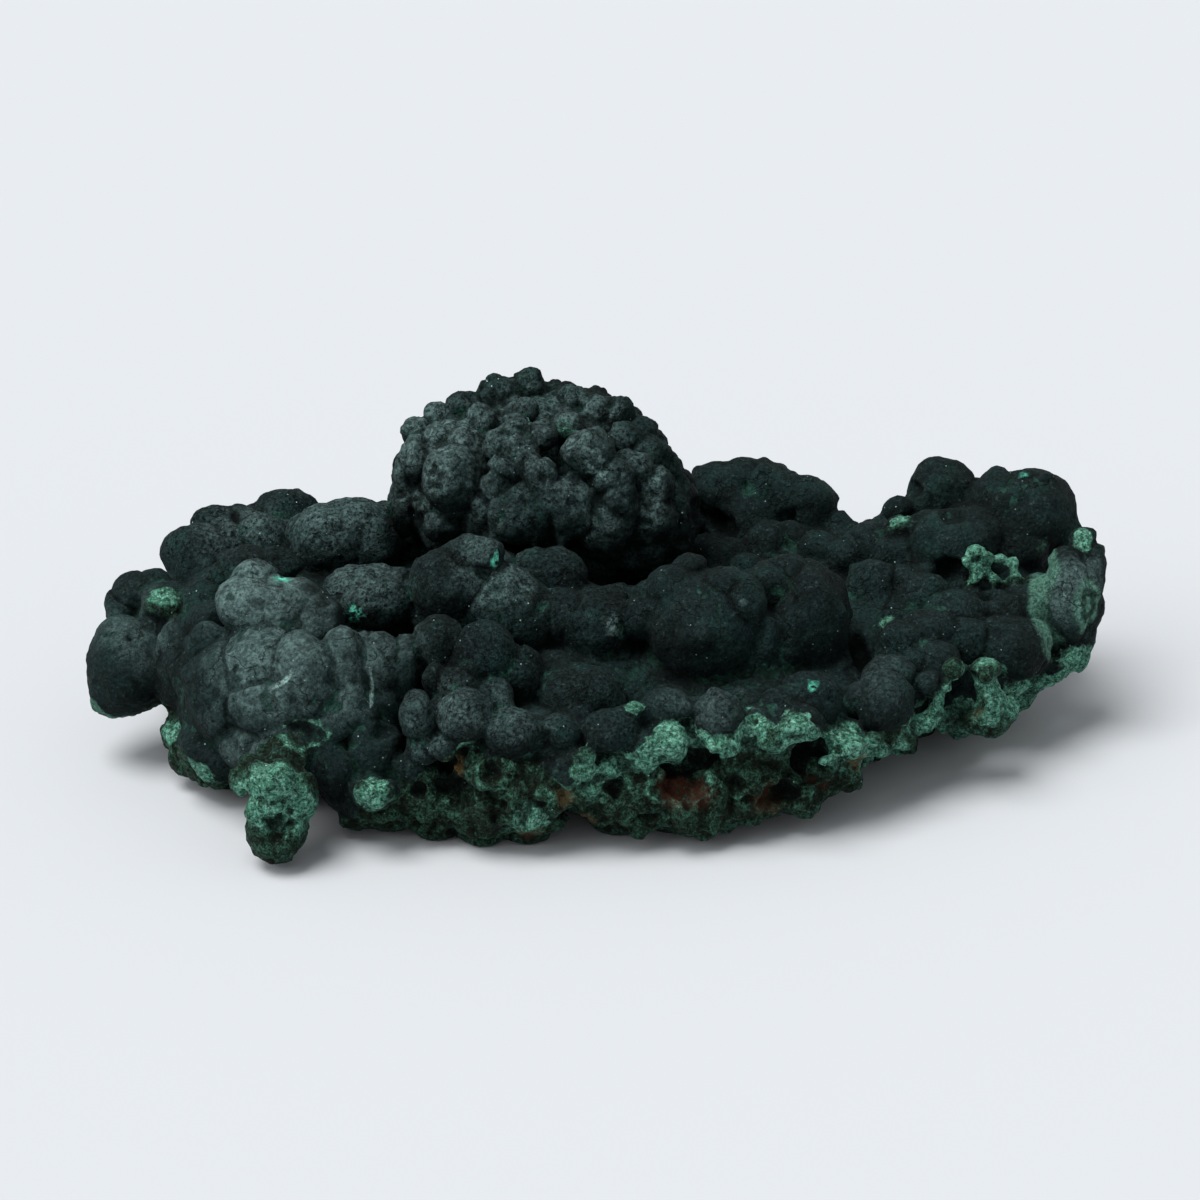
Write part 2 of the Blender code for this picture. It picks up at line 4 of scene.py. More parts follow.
import bpy
import numpy as np
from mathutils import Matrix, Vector


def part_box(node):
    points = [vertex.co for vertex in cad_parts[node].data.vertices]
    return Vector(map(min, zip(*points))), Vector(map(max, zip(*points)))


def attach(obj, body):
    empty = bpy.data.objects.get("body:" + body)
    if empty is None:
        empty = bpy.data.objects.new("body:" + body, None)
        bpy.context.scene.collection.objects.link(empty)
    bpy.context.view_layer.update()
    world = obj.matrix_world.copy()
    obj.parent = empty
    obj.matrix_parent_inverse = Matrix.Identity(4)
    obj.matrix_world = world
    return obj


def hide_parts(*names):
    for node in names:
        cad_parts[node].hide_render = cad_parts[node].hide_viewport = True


# A lump of botryoidal malachite. The lobe tables are in millimetres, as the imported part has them:
# X along the lump, +Y to its back, +Z up. What Blender is given is in metres.
mm = 0.001
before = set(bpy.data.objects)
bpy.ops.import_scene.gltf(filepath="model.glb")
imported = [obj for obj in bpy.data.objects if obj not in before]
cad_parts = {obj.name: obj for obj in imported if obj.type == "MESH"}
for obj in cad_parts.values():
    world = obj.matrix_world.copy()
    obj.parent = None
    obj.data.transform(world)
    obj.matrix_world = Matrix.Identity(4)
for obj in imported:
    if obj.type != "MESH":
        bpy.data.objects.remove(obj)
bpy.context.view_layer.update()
print("frame loaded")

# The lobes by cluster: middle, half width and half height. A lobe's half depth is the mean of the two.
stoneLobes = {
    "greatDome": [
        (-11.5, 29, 33.5, 24, 19.5), (-12, 28, 45, 18, 10), (4, 20, 36, 13, 12), (-24, 20, 40, 12, 13),
    ],
    "domeFace": [
        (-13, 30, 56.5, 3, 3), (-18.5, 28, 55.5, 3.5, 3), (-24.5, 26, 54.5, 3, 2.5),
        (-28.5, 24, 52.5, 3, 3), (-32.5, 22, 50, 3, 3), (-4.5, 28, 54, 2.5, 2.5),
        (-1, 26, 53.5, 3, 2.5), (3, 26, 52, 3, 3), (7.5, 24, 49, 3, 3), (-5.5, 16, 53.5, 3, 3),
        (-13, 18, 56, 2.5, 2.5), (-14.5, 13, 55, 3, 2.5), (-10.5, 12, 54, 3, 2.5),
        (-21.5, 20, 53, 3, 3), (-18, 11, 52.5, 2.5, 2.5), (-14.5, 8.5, 52, 3.5, 3), (-24, 14, 51, 3, 3),
        (-29, 18, 50.5, 2.5, 3), (-33, 16, 47, 2.5, 5), (-35, 17, 43, 2, 5), (-2, 8, 52, 4.5, 4),
        (2, 7, 48.5, 3.5, 3.5), (3, 6, 44, 3, 4.5), (4, 16, 51.5, 3, 2.5), (8.5, 16, 49, 3, 3),
        (5.5, 10, 49, 3.5, 3), (9.5, 11, 44, 3.5, 4), (12, 18, 44, 2.5, 5), (14, 20, 40, 2.5, 6),
        (15.5, 22, 35, 2, 5), (-26, 8, 47, 5, 6), (-28, 8, 38.5, 3, 3), (-35, 16, 38, 3, 5),
        (-16.5, 7, 49.5, 3, 2.5), (-10.5, 5.5, 49, 3, 3), (-18.5, 6, 46, 3, 3),
        (-20, 6, 41.5, 3.5, 4.5), (-14, 5.5, 42, 7, 5.5), (-6.5, 5.5, 43, 6, 5.5),
        (0.5, 6.5, 40, 5.5, 5.5), (8, 10, 39, 5, 5.5), (-9.5, 7.5, 37.5, 5, 3.5), (1, 9, 34.5, 4.5, 3),
        (6.5, 11, 35, 5, 4), (11.5, 16, 32.5, 4, 4),
    ],
    "behindDome": [
        (23, 40, 31.5, 6.5, 5), (31, 40, 32, 5.5, 5), (27, 41, 33.5, 4.5, 3.5), (39, 37, 30, 5, 5),
        (34.5, 38, 30.5, 5, 5), (30.5, 27, 26, 4, 4.5), (35.5, 28, 27.5, 3, 3), (40, 25, 26.5, 4.5, 3),
        (26.5, 18, 26, 3, 2.5), (22, 26, 24, 6, 4),
    ],
    "rightCrest": [
        (63, 33, 34.5, 6.5, 5.5), (69.5, 33, 34.5, 2, 2), (59.5, 30, 33, 3.5, 3.5),
        (78.5, 25, 33, 8.5, 8.5), (73, 27, 34.8, 5, 6), (83.5, 23, 30.5, 4.5, 5),
        (64, 18, 31, 8.5, 6), (59, 21, 31, 4.5, 4), (69.5, 19, 31.5, 4.5, 4.5),
        (54.5, 27, 33, 2.5, 2.5), (54.5, 21, 33, 2.5, 1.5), (56.5, 19, 33, 2, 1.5),
        (49.5, 22, 28.5, 4.5, 4), (53.5, 19, 28, 5, 4), (45, 21, 26.5, 3.5, 3.5),
    ],
    "rightFace": [
        (49, 9, 26.5, 5, 4.5), (54.5, 9, 27, 3.5, 3), (58, 5, 26, 5, 4.5), (62.5, 0, 25, 5.5, 3.5),
        (70.5, 3, 24, 5.5, 3.5), (75, 5, 23.5, 4.5, 4), (83.5, 7, 24.5, 4.5, 8.5), (87, 9, 25, 3.5, 8),
        (86.5, 8, 17.5, 3, 5.5), (86.5, 11, 34, 2.5, 2.5), (84, 10, 30.5, 4, 2.5),
        (57.5, -6, 24, 5.5, 4), (52.5, -9, 24, 4, 3.5), (63.5, -6, 23, 5, 3.5),
        (71.5, -4, 20, 7.5, 5.5), (77.5, -2, 19, 2.5, 5), (68.5, -4, 21.5, 5.5, 4),
        (58.5, -13, 21.5, 4.5, 3.5), (50, -18, 21.5, 4.5, 3.5), (48.5, -23, 18.5, 5.5, 6),
        (44.5, -22, 18, 2.5, 4.5), (57, -19, 20.5, 2.5, 2), (54.5, -14, 22, 2.5, 2),
        (81.5, 0, 14, 3, 2.5), (85, 4, 14.5, 3, 3.5),
        (88.2, 9.5, 31, 2.2, 3.4),
    ],
    "rightEdge": [
        (66, -17, 22, 2.5, 2.5), (61.5, -18, 23, 2, 2), (59.5, -19, 20, 2, 1.5),
        (67.5, -16, 16.5, 3, 4.5), (71, -14, 13, 2.5, 3), (68, -15, 11.5, 3.5, 3),
        (64.5, -16, 11.5, 2.5, 2.5), (58.5, -19, 16.5, 1.5, 3), (55.5, -21, 14, 2.5, 2),
        (52, -25, 13, 2.5, 2), (48, -27, 13, 2.5, 2), (45.5, -28, 12.5, 2.5, 2),
    ],
    "centreRight": [
        (18, -13, 28.5, 10.5, 10), (6.5, -13, 30, 3, 4), (15.5, -8.5, 38, 3, 2.5),
        (21.5, -14, 37, 4, 3), (12, -12, 36, 4, 3.5), (24.5, -15, 33.5, 4, 5.5), (29, -10, 35, 4.5, 4),
        (32.5, -8, 35.5, 4.5, 4), (36, -6, 33.5, 4, 4), (36, -9.5, 28.5, 6.5, 10),
        (32.5, -13, 27.5, 3.5, 8), (40, -7, 27, 3.5, 8), (29, -16, 27, 2, 6),
    ],
    "middle": [
        (-25, -12, 36, 7, 7), (-17, -13, 33, 8, 6.5), (-21.5, -12, 42, 5, 3),
        (-13.5, -15, 30.5, 6, 4.5), (-29, -10, 35.5, 3.5, 4.5), (-9, -3, 34, 6.5, 4.5),
        (-6, -6, 31, 3, 2.5), (-1.5, -14, 29.5, 6.5, 5.5), (-7, -14, 31, 4.5, 4.5), (1, -8, 30.5, 4, 3),
        (4, -12, 27.5, 2, 2.5), (-27.5, -24, 31, 4, 4.5), (-19.5, -26, 30, 5, 5),
        (-13, -26, 26, 3.5, 4.5), (-3.5, -27, 23, 7, 4.5), (0.5, -28, 21.5, 4, 4),
        (-17.5, -33, 25, 3, 3), (-24, -31, 26.5, 3.5, 3), (-27.5, -30, 27, 2.5, 2.5),
        (-30.5, -37, 23.5, 3, 4.5), (-22.5, -37, 23.5, 4.5, 4.5), (-14.5, -38, 21, 5, 4),
        (-6, -37, 20.5, 3.5, 3), (2, -38, 21.5, 4.5, 3.5), (-4, -33, 21, 3.5, 2.5),
        (-29.5, -37, 17.5, 3.5, 3.5), (-31.5, -37, 14, 3, 2.5), (-26.5, -38, 18.5, 3.5, 2.5),
    ],
    "frontRow": [
        (11, -34, 23.5, 4.5, 3.5), (20, -35, 21.5, 4.5, 5.5), (24, -31, 23, 2.5, 2.5),
        (26, -35, 20.5, 3, 3.5), (15, -33, 21.5, 3, 3), (29.5, -31, 22, 3.5, 3),
        (33, -34, 20.5, 4.5, 3.5), (36, -27, 22, 5.5, 4.5), (42, -29, 16.5, 2.5, 2.5),
        (38.5, -32, 16.5, 2.5, 2), (43, -31, 14, 2, 2), (39.5, -34, 14, 2, 1.5), (5.5, -37, 25, 2, 1.5),
        (11.5, -39, 19.5, 3.5, 3.5), (20.5, -39, 18.5, 3, 3), (29, -37, 19.5, 3, 3),
        (7, -39, 18, 3.5, 4),
    ],
    "leftMass": [
        (-83, -6, 17.5, 7, 9), (-87, -7, 11.5, 2.5, 2.8), (-82.5, 2, 28.5, 3, 3), (-85, 1.5, 25.5, 2.5, 3),
        (-78.5, 4, 28, 3, 3.5),
        (-76.5, -2, 28, 4, 3), (-69.5, -4, 29, 3.5, 3.5), (-73.5, -1, 27.5, 3, 2.5),
        (-68, -10, 28, 3.5, 3.5), (-73, -8, 18, 5, 9), (-64, -24, 21.5, 7, 8),
        (-67.5, -18, 27.5, 3.5, 4), (-57, -25, 26.5, 7, 6.5), (-50, -29, 27, 4.5, 7.5),
        (-59, -13, 37, 4, 4), (-61, -18, 35, 5, 4.5), (-54.5, -17, 34, 5.5, 5),
        (-47.5, -19, 32, 4, 4.5), (-51, -15, 34, 4, 3.5), (-43, -27, 28, 3.5, 6.5),
        (-37, -26, 27.5, 3, 5.5), (-33, -25, 26.5, 2.5, 5.5), (-42, -30, 21.5, 4.5, 4.5),
        (-36.5, -27, 21, 3.5, 4), (-45.5, -32, 19.5, 4.5, 3.5), (-55.5, -29, 22, 7.5, 5.5),
        (-48.5, -31, 22, 3.5, 4),
    ],
    "leftApron": [
        (-67, -22, 10, 6.5, 5), (-74.5, -14, 9, 2.5, 3.5), (-73, -17, 5.5, 2.5, 3),
        (-70, -19.5, 4.5, 3, 3), (-66.5, -23, 5.5, 3, 3), (-56, -30, 14.5, 8.5, 5),
        (-45.5, -33, 13.5, 6, 5), (-38.5, -33, 15.5, 5, 5), (-50.5, -33, 14.5, 5, 4),
        (-38, -40.5, 10.5, 3, 2.5), (-35.5, -41, 11, 1.5, 1.5),
    ],
    "frontFoot": [
        (-54.5, -45, 16, 4.5, 3.5), (-58.5, -42, 17, 2, 2), (-50, -43, 12, 3.5, 4.5),
        (-54, -45, 6.5, 5.2, 6), (-60, -44, 14.5, 2, 2), (-55.5, -46, 11, 3.5, 3.5),
        (-53, -38, 12, 5, 7),
    ],
    "upperLeft": [
        (-58, 31, 31.5, 6.5, 3.5), (-63.5, 31, 30, 4, 2.5), (-70.5, 26, 31, 4.5, 3),
        (-65.5, 27, 31.5, 3.5, 2.5), (-72, 17, 29, 6.5, 5.5), (-67, 17, 31, 3.5, 3.5),
        (-68.5, 20, 33, 2, 1.5), (-61, 18, 32, 4.5, 4), (-75.5, 16, 28, 3, 5),
        (-48.5, 12, 33.5, 7, 6.5), (-41, 13, 33, 5.5, 6.5), (-44.5, 13, 38, 5.5, 3),
        (-53.5, 15, 34, 3, 3.5), (-62.5, 0, 34.5, 5, 3), (-57, 0, 34, 4.5, 3.5), (-66.5, 0, 32, 3, 2.5),
        (-40, -8, 31.5, 8, 6), (-44, -7, 32.5, 4.5, 4), (-35.5, -8, 31, 4, 5),
    ],
    "frontWall": [
        (-18.5, -37, 10.5, 7, 8), (-11.5, -36.5, 10, 6.5, 7.5), (-5, -35, 13, 6, 7),
        (-27, -33, 8, 8, 6.5), (-37.5, -31, 8, 9, 7), (1, -34, 11, 7.5, 7.5), (7.5, -35, 8.5, 7.5, 7.5),
        (15, -34.5, 8.5, 7.5, 7.5), (23.5, -32.5, 8.5, 7.5, 7.5), (32, -28.5, 8.5, 7.5, 7),
        (39, -25, 9, 6, 6),
    ],
    "frontToes": [
        (-36, -31, 3, 5, 4.5), (-28, -34, 3, 5, 4.5), (-20, -36, 3, 5, 4.5), (-12, -35.5, 3, 5, 4.5),
        (3, -32, 3, 5, 4.5), (12, -31.5, 3, 5, 4.5),
    ],
    "valleys": [
        (-76, 10, 17, 6, 6), (-68, 5, 24, 7, 7), (-60, 6, 26, 7, 7), (-60, -7, 30, 6, 6),
        (-52, -6, 25, 7, 6), (-44, 0, 25, 7, 7), (-36, 2, 25, 6, 6), (-28, -2, 29, 7, 7),
        (-20, -1, 31, 7, 7), (4, 0, 24, 6, 6), (12, -2, 26, 7, 7), (20, -2, 25, 7, 7),
        (28, -1, 26, 7, 7), (14, 8, 22, 6, 6), (22, 8, 21, 6, 6), (30, 10, 22, 6, 6),
        (38, 12, 20, 6, 6), (20, 16, 18, 6, 6), (28, 19, 19, 5, 5), (40, 2, 19, 6, 6),
        (46, -4, 18, 6, 6), (48, 4, 16, 5, 5), (44, 32, 18, 7, 7), (52, 30, 18, 7, 6),
        (-50, 22, 25, 8, 8), (-42, 22, 27, 8, 8), (-50, 30, 22, 8, 8), (-40, 32, 24, 8, 8),
        (-68, -14, 20, 6, 6), (66, 6, 21, 6, 6), (60, 12, 23, 6, 6), (70, 12, 18, 6, 6),
        (78, 14, 20, 6, 6), (20, 30, 20, 6, 6), (-36, -19, 22, 6, 6), (-20, -20, 24, 6, 6),
        (-8, -20, 21, 6, 6), (2, -20, 18, 6, 5), (4, -31, 16, 6, 5), (12, -24, 17, 6, 5),
        (24, -24, 17, 6, 5), (38, -18, 16, 6, 5), (-10, -32, 17, 6, 5), (56, 38, 22, 6, 6),
        (68, 38, 27, 6, 6),
    ],
}

# Cores that join each cluster, and the bed that joins the clusters: middle, half width, half depth and half
# height.
innerLobes = {
    "cores": [
        (-54, -19, 23, 14, 9.5, 11), (-40, -22, 22, 9, 7, 10), (-45, -28, 17, 13, 6, 7),
        (-62, 20, 25.5, 14, 12, 8), (-45, 13, 28, 10, 7, 9), (-40, -8, 27, 8, 7, 8),
        (-22, -9, 29, 12, 9, 8.5), (-5, -8, 27, 11, 9, 7), (-22, -24, 25, 9, 6, 8),
        (-23, -33, 20, 9, 5, 6), (-6, -31, 17, 14, 8, 6), (20, -31, 17, 16, 8, 6.5),
        (34, -26, 17, 9, 7, 6), (24, -10, 22, 16, 11, 10), (71, 24, 27, 13, 11, 9),
        (64, 4, 20, 16, 10, 7), (51, -11, 18, 8, 10, 6), (79, 9, 20, 7, 7, 9), (30, 40, 26, 14, 9, 9),
        (-76, 0, 21, 7, 8, 8), (-66, -16, 15, 8, 8, 10), (-53, -36, 14, 6, 8, 7),
        (-7, 18, 30, 18, 12, 12),
    ],
    "bed": [
        (-50, -10, 14, 24, 19, 15), (-12, -8, 12, 36, 26, 16), (24, -4, 12, 32, 27, 13),
        (57, 8, 15, 24, 18, 12), (-12, 25, 13, 38, 22, 16), (34, 26, 14, 34, 18, 12),
        (-50, 14, 17, 26, 20, 14), (64, 22, 22, 18, 13, 11), (2, 2, 6, 50, 28, 9),
    ],
}

# Lobes that only dress the surface: a lacy crust on the right, the broken lobe's rim and small beads.
surfaceLobes = {
    "laceCrust": [
        (66.8, 8.5, 33.2, 1.9, 1.5), (69, 8.2, 32.2, 1.6, 1.3), (68.6, 8, 29.6, 1.5, 1.5),
        (66.3, 7.8, 29, 1.5, 1.4), (65.2, 8, 31, 1.4, 1.7), (65.6, 7.6, 26.6, 1.3, 2),
        (71.3, 9, 31.6, 1.6, 1.3), (73.4, 9, 30.4, 1.7, 1.5), (74.3, 9, 28, 1.6, 1.7),
        (72.6, 8.5, 26.2, 1.8, 1.5), (70.4, 8, 27.6, 1.5, 1.8), (71.6, 7.2, 24.6, 1.4, 1.6),
    ],
    "beads": [
        (-2.5, -41.5, 18.5, 1.8, 1.7), (80.3, 7, 13.2, 3, 2.6), (60.6, -20.5, 24.3, 2.2, 1.9),
        (66.5, -20, 23.4, 2.6, 2.4), (42.6, -33, 15.6, 2.3, 2.2), (38.3, -36.2, 15.2, 1.7, 1.6),
        (46.3, -31, 16, 1.6, 1.4), (33, -38.5, 22.3, 2.2, 1.6), (35.6, -37, 20.8, 1.7, 1.5),
        (-39.1, -42.6, 12.6, 2.1, 2), (-35.5, -42.4, 12.8, 1.8, 1.7), (-37.6, -42.8, 10.6, 1.7, 1.7),
        (55.3, 19, 33.8, 2, 1.5), (53, 19, 32.4, 1.6, 1.1), (-76.4, -5.5, 29.2, 3.2, 2.3),
    ],
}

# Each cluster's finish: from 0 to 1 how crusty it is with broken green stone, how bumpy with smaller
# lobes and how pitted with pinholes, and then how far its lobes run into one another, in mm.
clusterFinish = {
    "greatDome": (0, 1, 0.7, 2.4),
    "domeFace": (0, 0.85, 0.7, 1.4),
    "domeKnobs": (0, 0.85, 0.6, 1.3),
    "behindDome": (0, 0.2, 0.5, 2),
    "rightCrest": (0, 0.15, 0.3, 1.8),
    "rightFace": (0, 0.25, 0.6, 1.6),
    "rightEdge": (0.8, 0.3, 0.3, 2.6),
    "centreRight": (0, 0.12, 0.55, 2.2),
    "middle": (0, 0.28, 0.8, 2),
    "frontRow": (0, 0.25, 0.6, 1.7),
    "leftMass": (0, 0.15, 0.4, 4.4),
    "leftApron": (0, 0.2, 0.4, 4),
    "frontFoot": (0.75, 0.1, 0.3, 3),
    "upperLeft": (0, 0.25, 1, 1.5),
    "frontWall": (0.3, 0.2, 0.6, 4),
    "frontToes": (0.3, 0.2, 0.6, 4),
    "valleys": (0, 0.3, 0.1, 2.6),
    "back": (0, 0.35, 0.5, 1.8),
    "wallLumps": (0.3, 0.2, 0.6, 3),
    "underLumps": (0.3, 0.2, 0.5, 3),
    "laceCrust": (1, 0, 0, 0.8),
    "beads": (0.75, 0, 0, 2.2),
}

grownLobes = {
    "seed": 7,
    "domeKnobs": 110,
    "domeKnobRadius": (2.2, 3.8),
    "backLine": [(-76, 18, 19), (-58, 31, 18), (-34, 42, 17), (-6, 47, 18), (24, 45, 17), (46, 37, 11),
                 (60, 35, 19), (76, 27, 20)],
    "backRows": [(0, 0, 7, 10), (9, -7, 5, 7.5), (-9, -4, 5, 7)],   # rise, inward, least and greatest radius
    "backLobes": 15,
    "backKnobs": 3,
    "wallLumps": 110,
    "underLumps": 30,
    "underLumpRadius": (2.4, 4.8),
}

stoneShape = {
    "lobeSteps": (40, 24),      # round a lobe and along it
    "knobSteps": (14, 9),
    "coarseSkin": (0.55, 5),    # voxel size in mm, and how many rounds the normals are evened
    "fineSkin": (0.42, 1),
    "quickVoxel": 0.8,
    "flatBelow": 0.12,          # mm above the ground, below which the stone is laid flat on it
    "triangles": 196000,
    "wobble": 0.12,             # how far a lobe strays from an ellipsoid, as a share of its size
    "coreShare": 0.9,           # size of the hidden cores, as a share of the part's
    "reach": 6,                 # mm round a lobe within which it counts as near
}

# Where the broken crust begins: its upper edge along the front, in mm, and along the sides and back.
crustLine = {
    "across": [-92, -84, -76, -70, -62, -45, -38, -30, -24, -16, -8, 0, 6, 12, 20, 27, 34, 40, 48, 56, 62,
               68, 74, 80, 86, 92],
    "front": [12, 9, 14, 9, 3, 3, 9, 15, 19, 18, 15, 17, 20, 23, 22, 23, 23, 18, 15, 18, 21, 21, 15, 13,
              17, 17],
    "edgeDepth": [-2, -8, -16, -22, -32, -36, -38, -40, -41, -42, -42, -42, -42, -42, -41, -40, -37, -34,
                  -29, -23, -20, -18, -12, -3, 3, 8],
    "back": 8,
    "inward": (6, 12),          # mm behind the front, over which its height gives way to the back's
    "stray": 3.2,               # how far the edge wanders up and down
    "edge": (-1.2, 1.2),        # mm below the line, over which the crust begins
    "bandTop": (-2, 0),         # mm below the line, over which the fresh band begins
    "bandFoot": (3, 9),         # and over which it ends
    "bandAcross": (-20, 5),     # where along X it sets in
}

# Patches of light green: middle, radius and strength.
greenPatches = [
    (-74.5, -16.5, 11, 3.2, 0.9), (-76.5, -5, 30, 3, 0.95), (-13, -16.5, 38, 2, 0.5),
    (3.5, -17.5, 30, 1.6, 0.7), (5.5, -38, 26, 2.4, 0.95), (12, -41, 22, 4.2, 1),
    (18.5, -41, 19.5, 3.2, 0.8), (25.5, -38, 21.5, 3, 0.9), (33, -37.5, 22, 3.8, 1),
    (42, -31.5, 17.5, 3.4, 1), (38.5, -35.5, 15, 3, 0.9), (-38, -42.5, 12, 3.6, 1),
    (54.3, 19.8, 34.2, 2.4, 0.9), (86, 9, 35.5, 2.6, 1), (66.3, -19, 23.5, 2.8, 1),
    (61, -19.5, 24, 2.2, 0.7), (68.5, -19, 16, 5.5, 1), (84, 0.5, 16, 3, 0.8),
    (50.5, -3, 25, 2.2, 0.6), (-31, 15, 31.5, 3.2, 0.4), (-22, -38.5, 19.5, 2.4, 0.8),
    (-48, -37.5, 21.6, 2, 0.6), (-69, -27, 7.5, 3.4, 0.8), (-6, 13.4, 54.5, 2.8, 0.6),
    (-54.5, -47, 13.5, 6.5, 1), (-49, -46, 10, 4, 0.9), (-12, -42, 7, 5, 0.7),
    (-2, -42, 16, 4.5, 0.6), (21, -41, 14, 3, 0.6),
]

# Bright turquoise flecks: middle, radius and strength. Painted pale glints on the lobes are kept the same
# way.
flecks = [
    (-54.1, -16, 38.9, 1.3, 1), (-42.2, -14.7, 32.1, 1.7, 0.9), (-17.8, -14.7, 41.6, 0.9, 1),
    (76.8, 24.2, 41.3, 0.9, 0.9), (35.5, -30.5, 25.6, 0.9, 0.9), (-12, 14, 56, 0.8, 0.6),
]
paintedGlints = [
    (-1.2, 3.8, 51.5, 2.2, 0.7), (0, 4.2, 49, 1.8, 0.6), (-1.7, 5, 46.3, 1.4, 0.5),
    (9.1, 7.7, 45.9, 3.2, 0.45),
    (-59, -16.4, 40.2, 2.4, 0.5), (-13.1, -16.2, 37.9, 2, 0.4), (2, -18.6, 31.3, 1.6, 0.6),
    (83.5, 22, 37, 1, 0.5), (24.5, -19, 36.5, 1.4, 0.4),
]

# Grey dust and painted light lie thickest here: middle, radius and strength.
dustAndLightPatches = [
    (-59, -18, 38, 11, 1), (-54, -29, 29, 13, 0.8), (-45, -28, 28, 12, 0.6), (-36, -26, 30, 8, 0.35),
    (-18, -14, 40, 8, 0.5), (-47, 12, 38, 10, 0.5), (-63, 17, 34, 11, 0.45), (-40, -9, 36, 9, 0.45),
    (-28, 13, 50, 14, 0.85), (8, 7, 46, 8, 0.7), (-5, 8, 50, 10, 0.7), (-26, -39, 22, 9, 0.5),
    (-60, -33, 15, 10, 0.5), (86, 4, 26, 8, 1), (18, -36, 25, 9, 0.3), (-3, 20, 54, 9, 0.7),
    (-80, -6, 24, 9, 0.45), (50, -22, 22, 8, 0.15), (-20, 8, 36, 14, 0.35), (-14, -38, 24, 7, 0.35),
    (2, 8, 42, 14, 0.5), (-10, 16, 52, 16, 0.55),
]

# Banded rosettes on broken lobes: middle, half width and half height.
rosettes = [
    (43.2, -32.9, 15, 2.3, 2.2), (24.7, -38.4, 21, 1.9, 1.7), (11.5, -42.5, 19.5, 1.7, 1.6),
    (86.6, 2.2, 25.4, 3.4, 5.8),
]

# Thin pale lines along the front-left lobes' creases, as points on them.
paleLines = [
    [(-46.2, -23.5, 30.8), (-45.6, -30.1, 29.6), (-45.8, -30.9, 25.3), (-46.4, -34.3, 22.3)],
    [(-38.8, -28.4, 30.6), (-38.4, -29.7, 26.6), (-38.5, -32.2, 23.2)],
    [(-55.2, -32.5, 26.6), (-52.9, -33.5, 28.1), (-51.2, -34.1, 30.4)],
]

# Broken rims, pale green in a line: how wide each is, and the points on it.
paleRims = [
    (2.3, [(80.3, 9, 31), (78.3, 4.5, 28), (77.6, 2, 25), (78.4, -1, 21.5), (81.5, 0.5, 17.5)]),
    (1.5, [(-89.4, -8, 12.5), (-88, -9.3, 10.4), (-86, -9.5, 8.6), (-83, -10.3, 8.6)]),
]

# Spots of other minerals: middle, radius, and how rusty and how ochre each is.
oreSpots = [
    (12.5, -40, 12, 3.8, 0.9, 0), (16.5, -40, 10.5, 3, 0.7, 0), (15, -39, 16, 2.2, 0.4, 0.8),
    (28, -37, 8, 3.5, 0.6, 0.1), (-25, -39, 15, 2.4, 0.3, 0.9), (63.5, -18, 16, 3, 0.1, 1),
    (-6.5, -42, 11, 2.2, 0.1, 0.5), (-3, -41, 5, 2.4, 0.4, 0.4), (36, -32, 8, 2.5, 0.7, 0.2),
    (-76, -1, 27, 2.2, 0, 0.9), (44, -31, 12, 2, 0.4, 0.4), (-12, -41, 4, 2.5, 0.4, 0.2),
]

# Hollows: middle, half width, half height, depth, and how green their rims are.
sunkHollows = [
    (13.5, -42, 12.5, 5.4, 3.2, 2.8, 0.7), (20, -42, 16.6, 4.2, 1.9, 2, 0.5),
    (30.5, -37, 8.5, 5.4, 2.6, 2.8, 0.4), (-25, -41, 12, 5, 3.2, 3.2, 0.4),
    (-17, -43.5, 15.8, 3.6, 2.2, 2, 0.5), (63, -19, 17, 3.5, 3.8, 3.6, 0.5),
    (63.2, 17, 37, 2.8, 1.8, 1.6, 0), (30.3, -15.5, 34, 2.6, 3.2, 1, 0),
    (40.7, -36, 13.6, 3, 1.5, 2.2, 0.6), (-49.5, -35.5, 19.8, 3.8, 2, 0.6, 0.9),
    (57.7, 30, 36, 2, 1.4, 1.8, 0), (-16.6, -44.2, 10.5, 1.7, 1.3, 1.6, 0.3),
    (-10, -43.5, 10.2, 1.6, 1.2, 1.6, 0.3), (-15.4, -42, 5.4, 1.8, 1.4, 1.6, 0.3),
    (-53, -50, 9, 4.2, 3.4, 2.2, 0), (81, -1, 18.3, 1.3, 3, 1.6, 0.2),
    (-61.5, -30, 28.7, 1, 1, 1.6, 0), (-82, -10, 25, 0.8, 0.7, 1, 0),
    (-84.5, -9, 25.2, 0.7, 0.6, 0.9, 0), (2.5, -42.5, 12.5, 2.6, 1.6, 1.6, 0.4),
    (22.5, -40, 12, 2, 2.6, 1.8, 0.4), (-30.5, -38, 10.5, 2.4, 2, 2, 0.3),
    (-4.5, -42, 6.8, 2.8, 1.4, 1.6, 0.4), (8.5, -42, 6.5, 3, 1.5, 1.6, 0.4),
    (62.8, 9, 28.5, 4, 2.6, 3, 0), (68.5, 3.5, 27.5, 2.4, 1.6, 2.4, 0),
    (22.5, 32, 27.5, 4.5, 2.4, 2.5, 0), (45.4, -9, 22, 2, 5, 3, 0),
    (-36.1, -34.5, 19.5, 2.6, 1.4, 1.6, 0.2), (-42.3, -35.5, 17.9, 2.2, 1.2, 1.4, 0),
]


# A repeatable share from 0 to 1 for each cell: its whole numbers' bits, mixed with the seed's.
def cellShare(cells, seed):
    mixed = cells[..., 0] * 73856093 ^ cells[..., 1] * 19349663 ^ cells[..., 2] * 83492791
    mixed = ((mixed ^ seed * 2654435761) & 0xFFFFFFFF) * 1274126177 & 0xFFFFFFFFFFFF
    mixed = (mixed ^ (mixed >> 15)) * 668265263 & 0xFFFFFFFFFFFF
    return ((mixed ^ (mixed >> 17)) & 0xFFFFFF) / float(0x1000000)


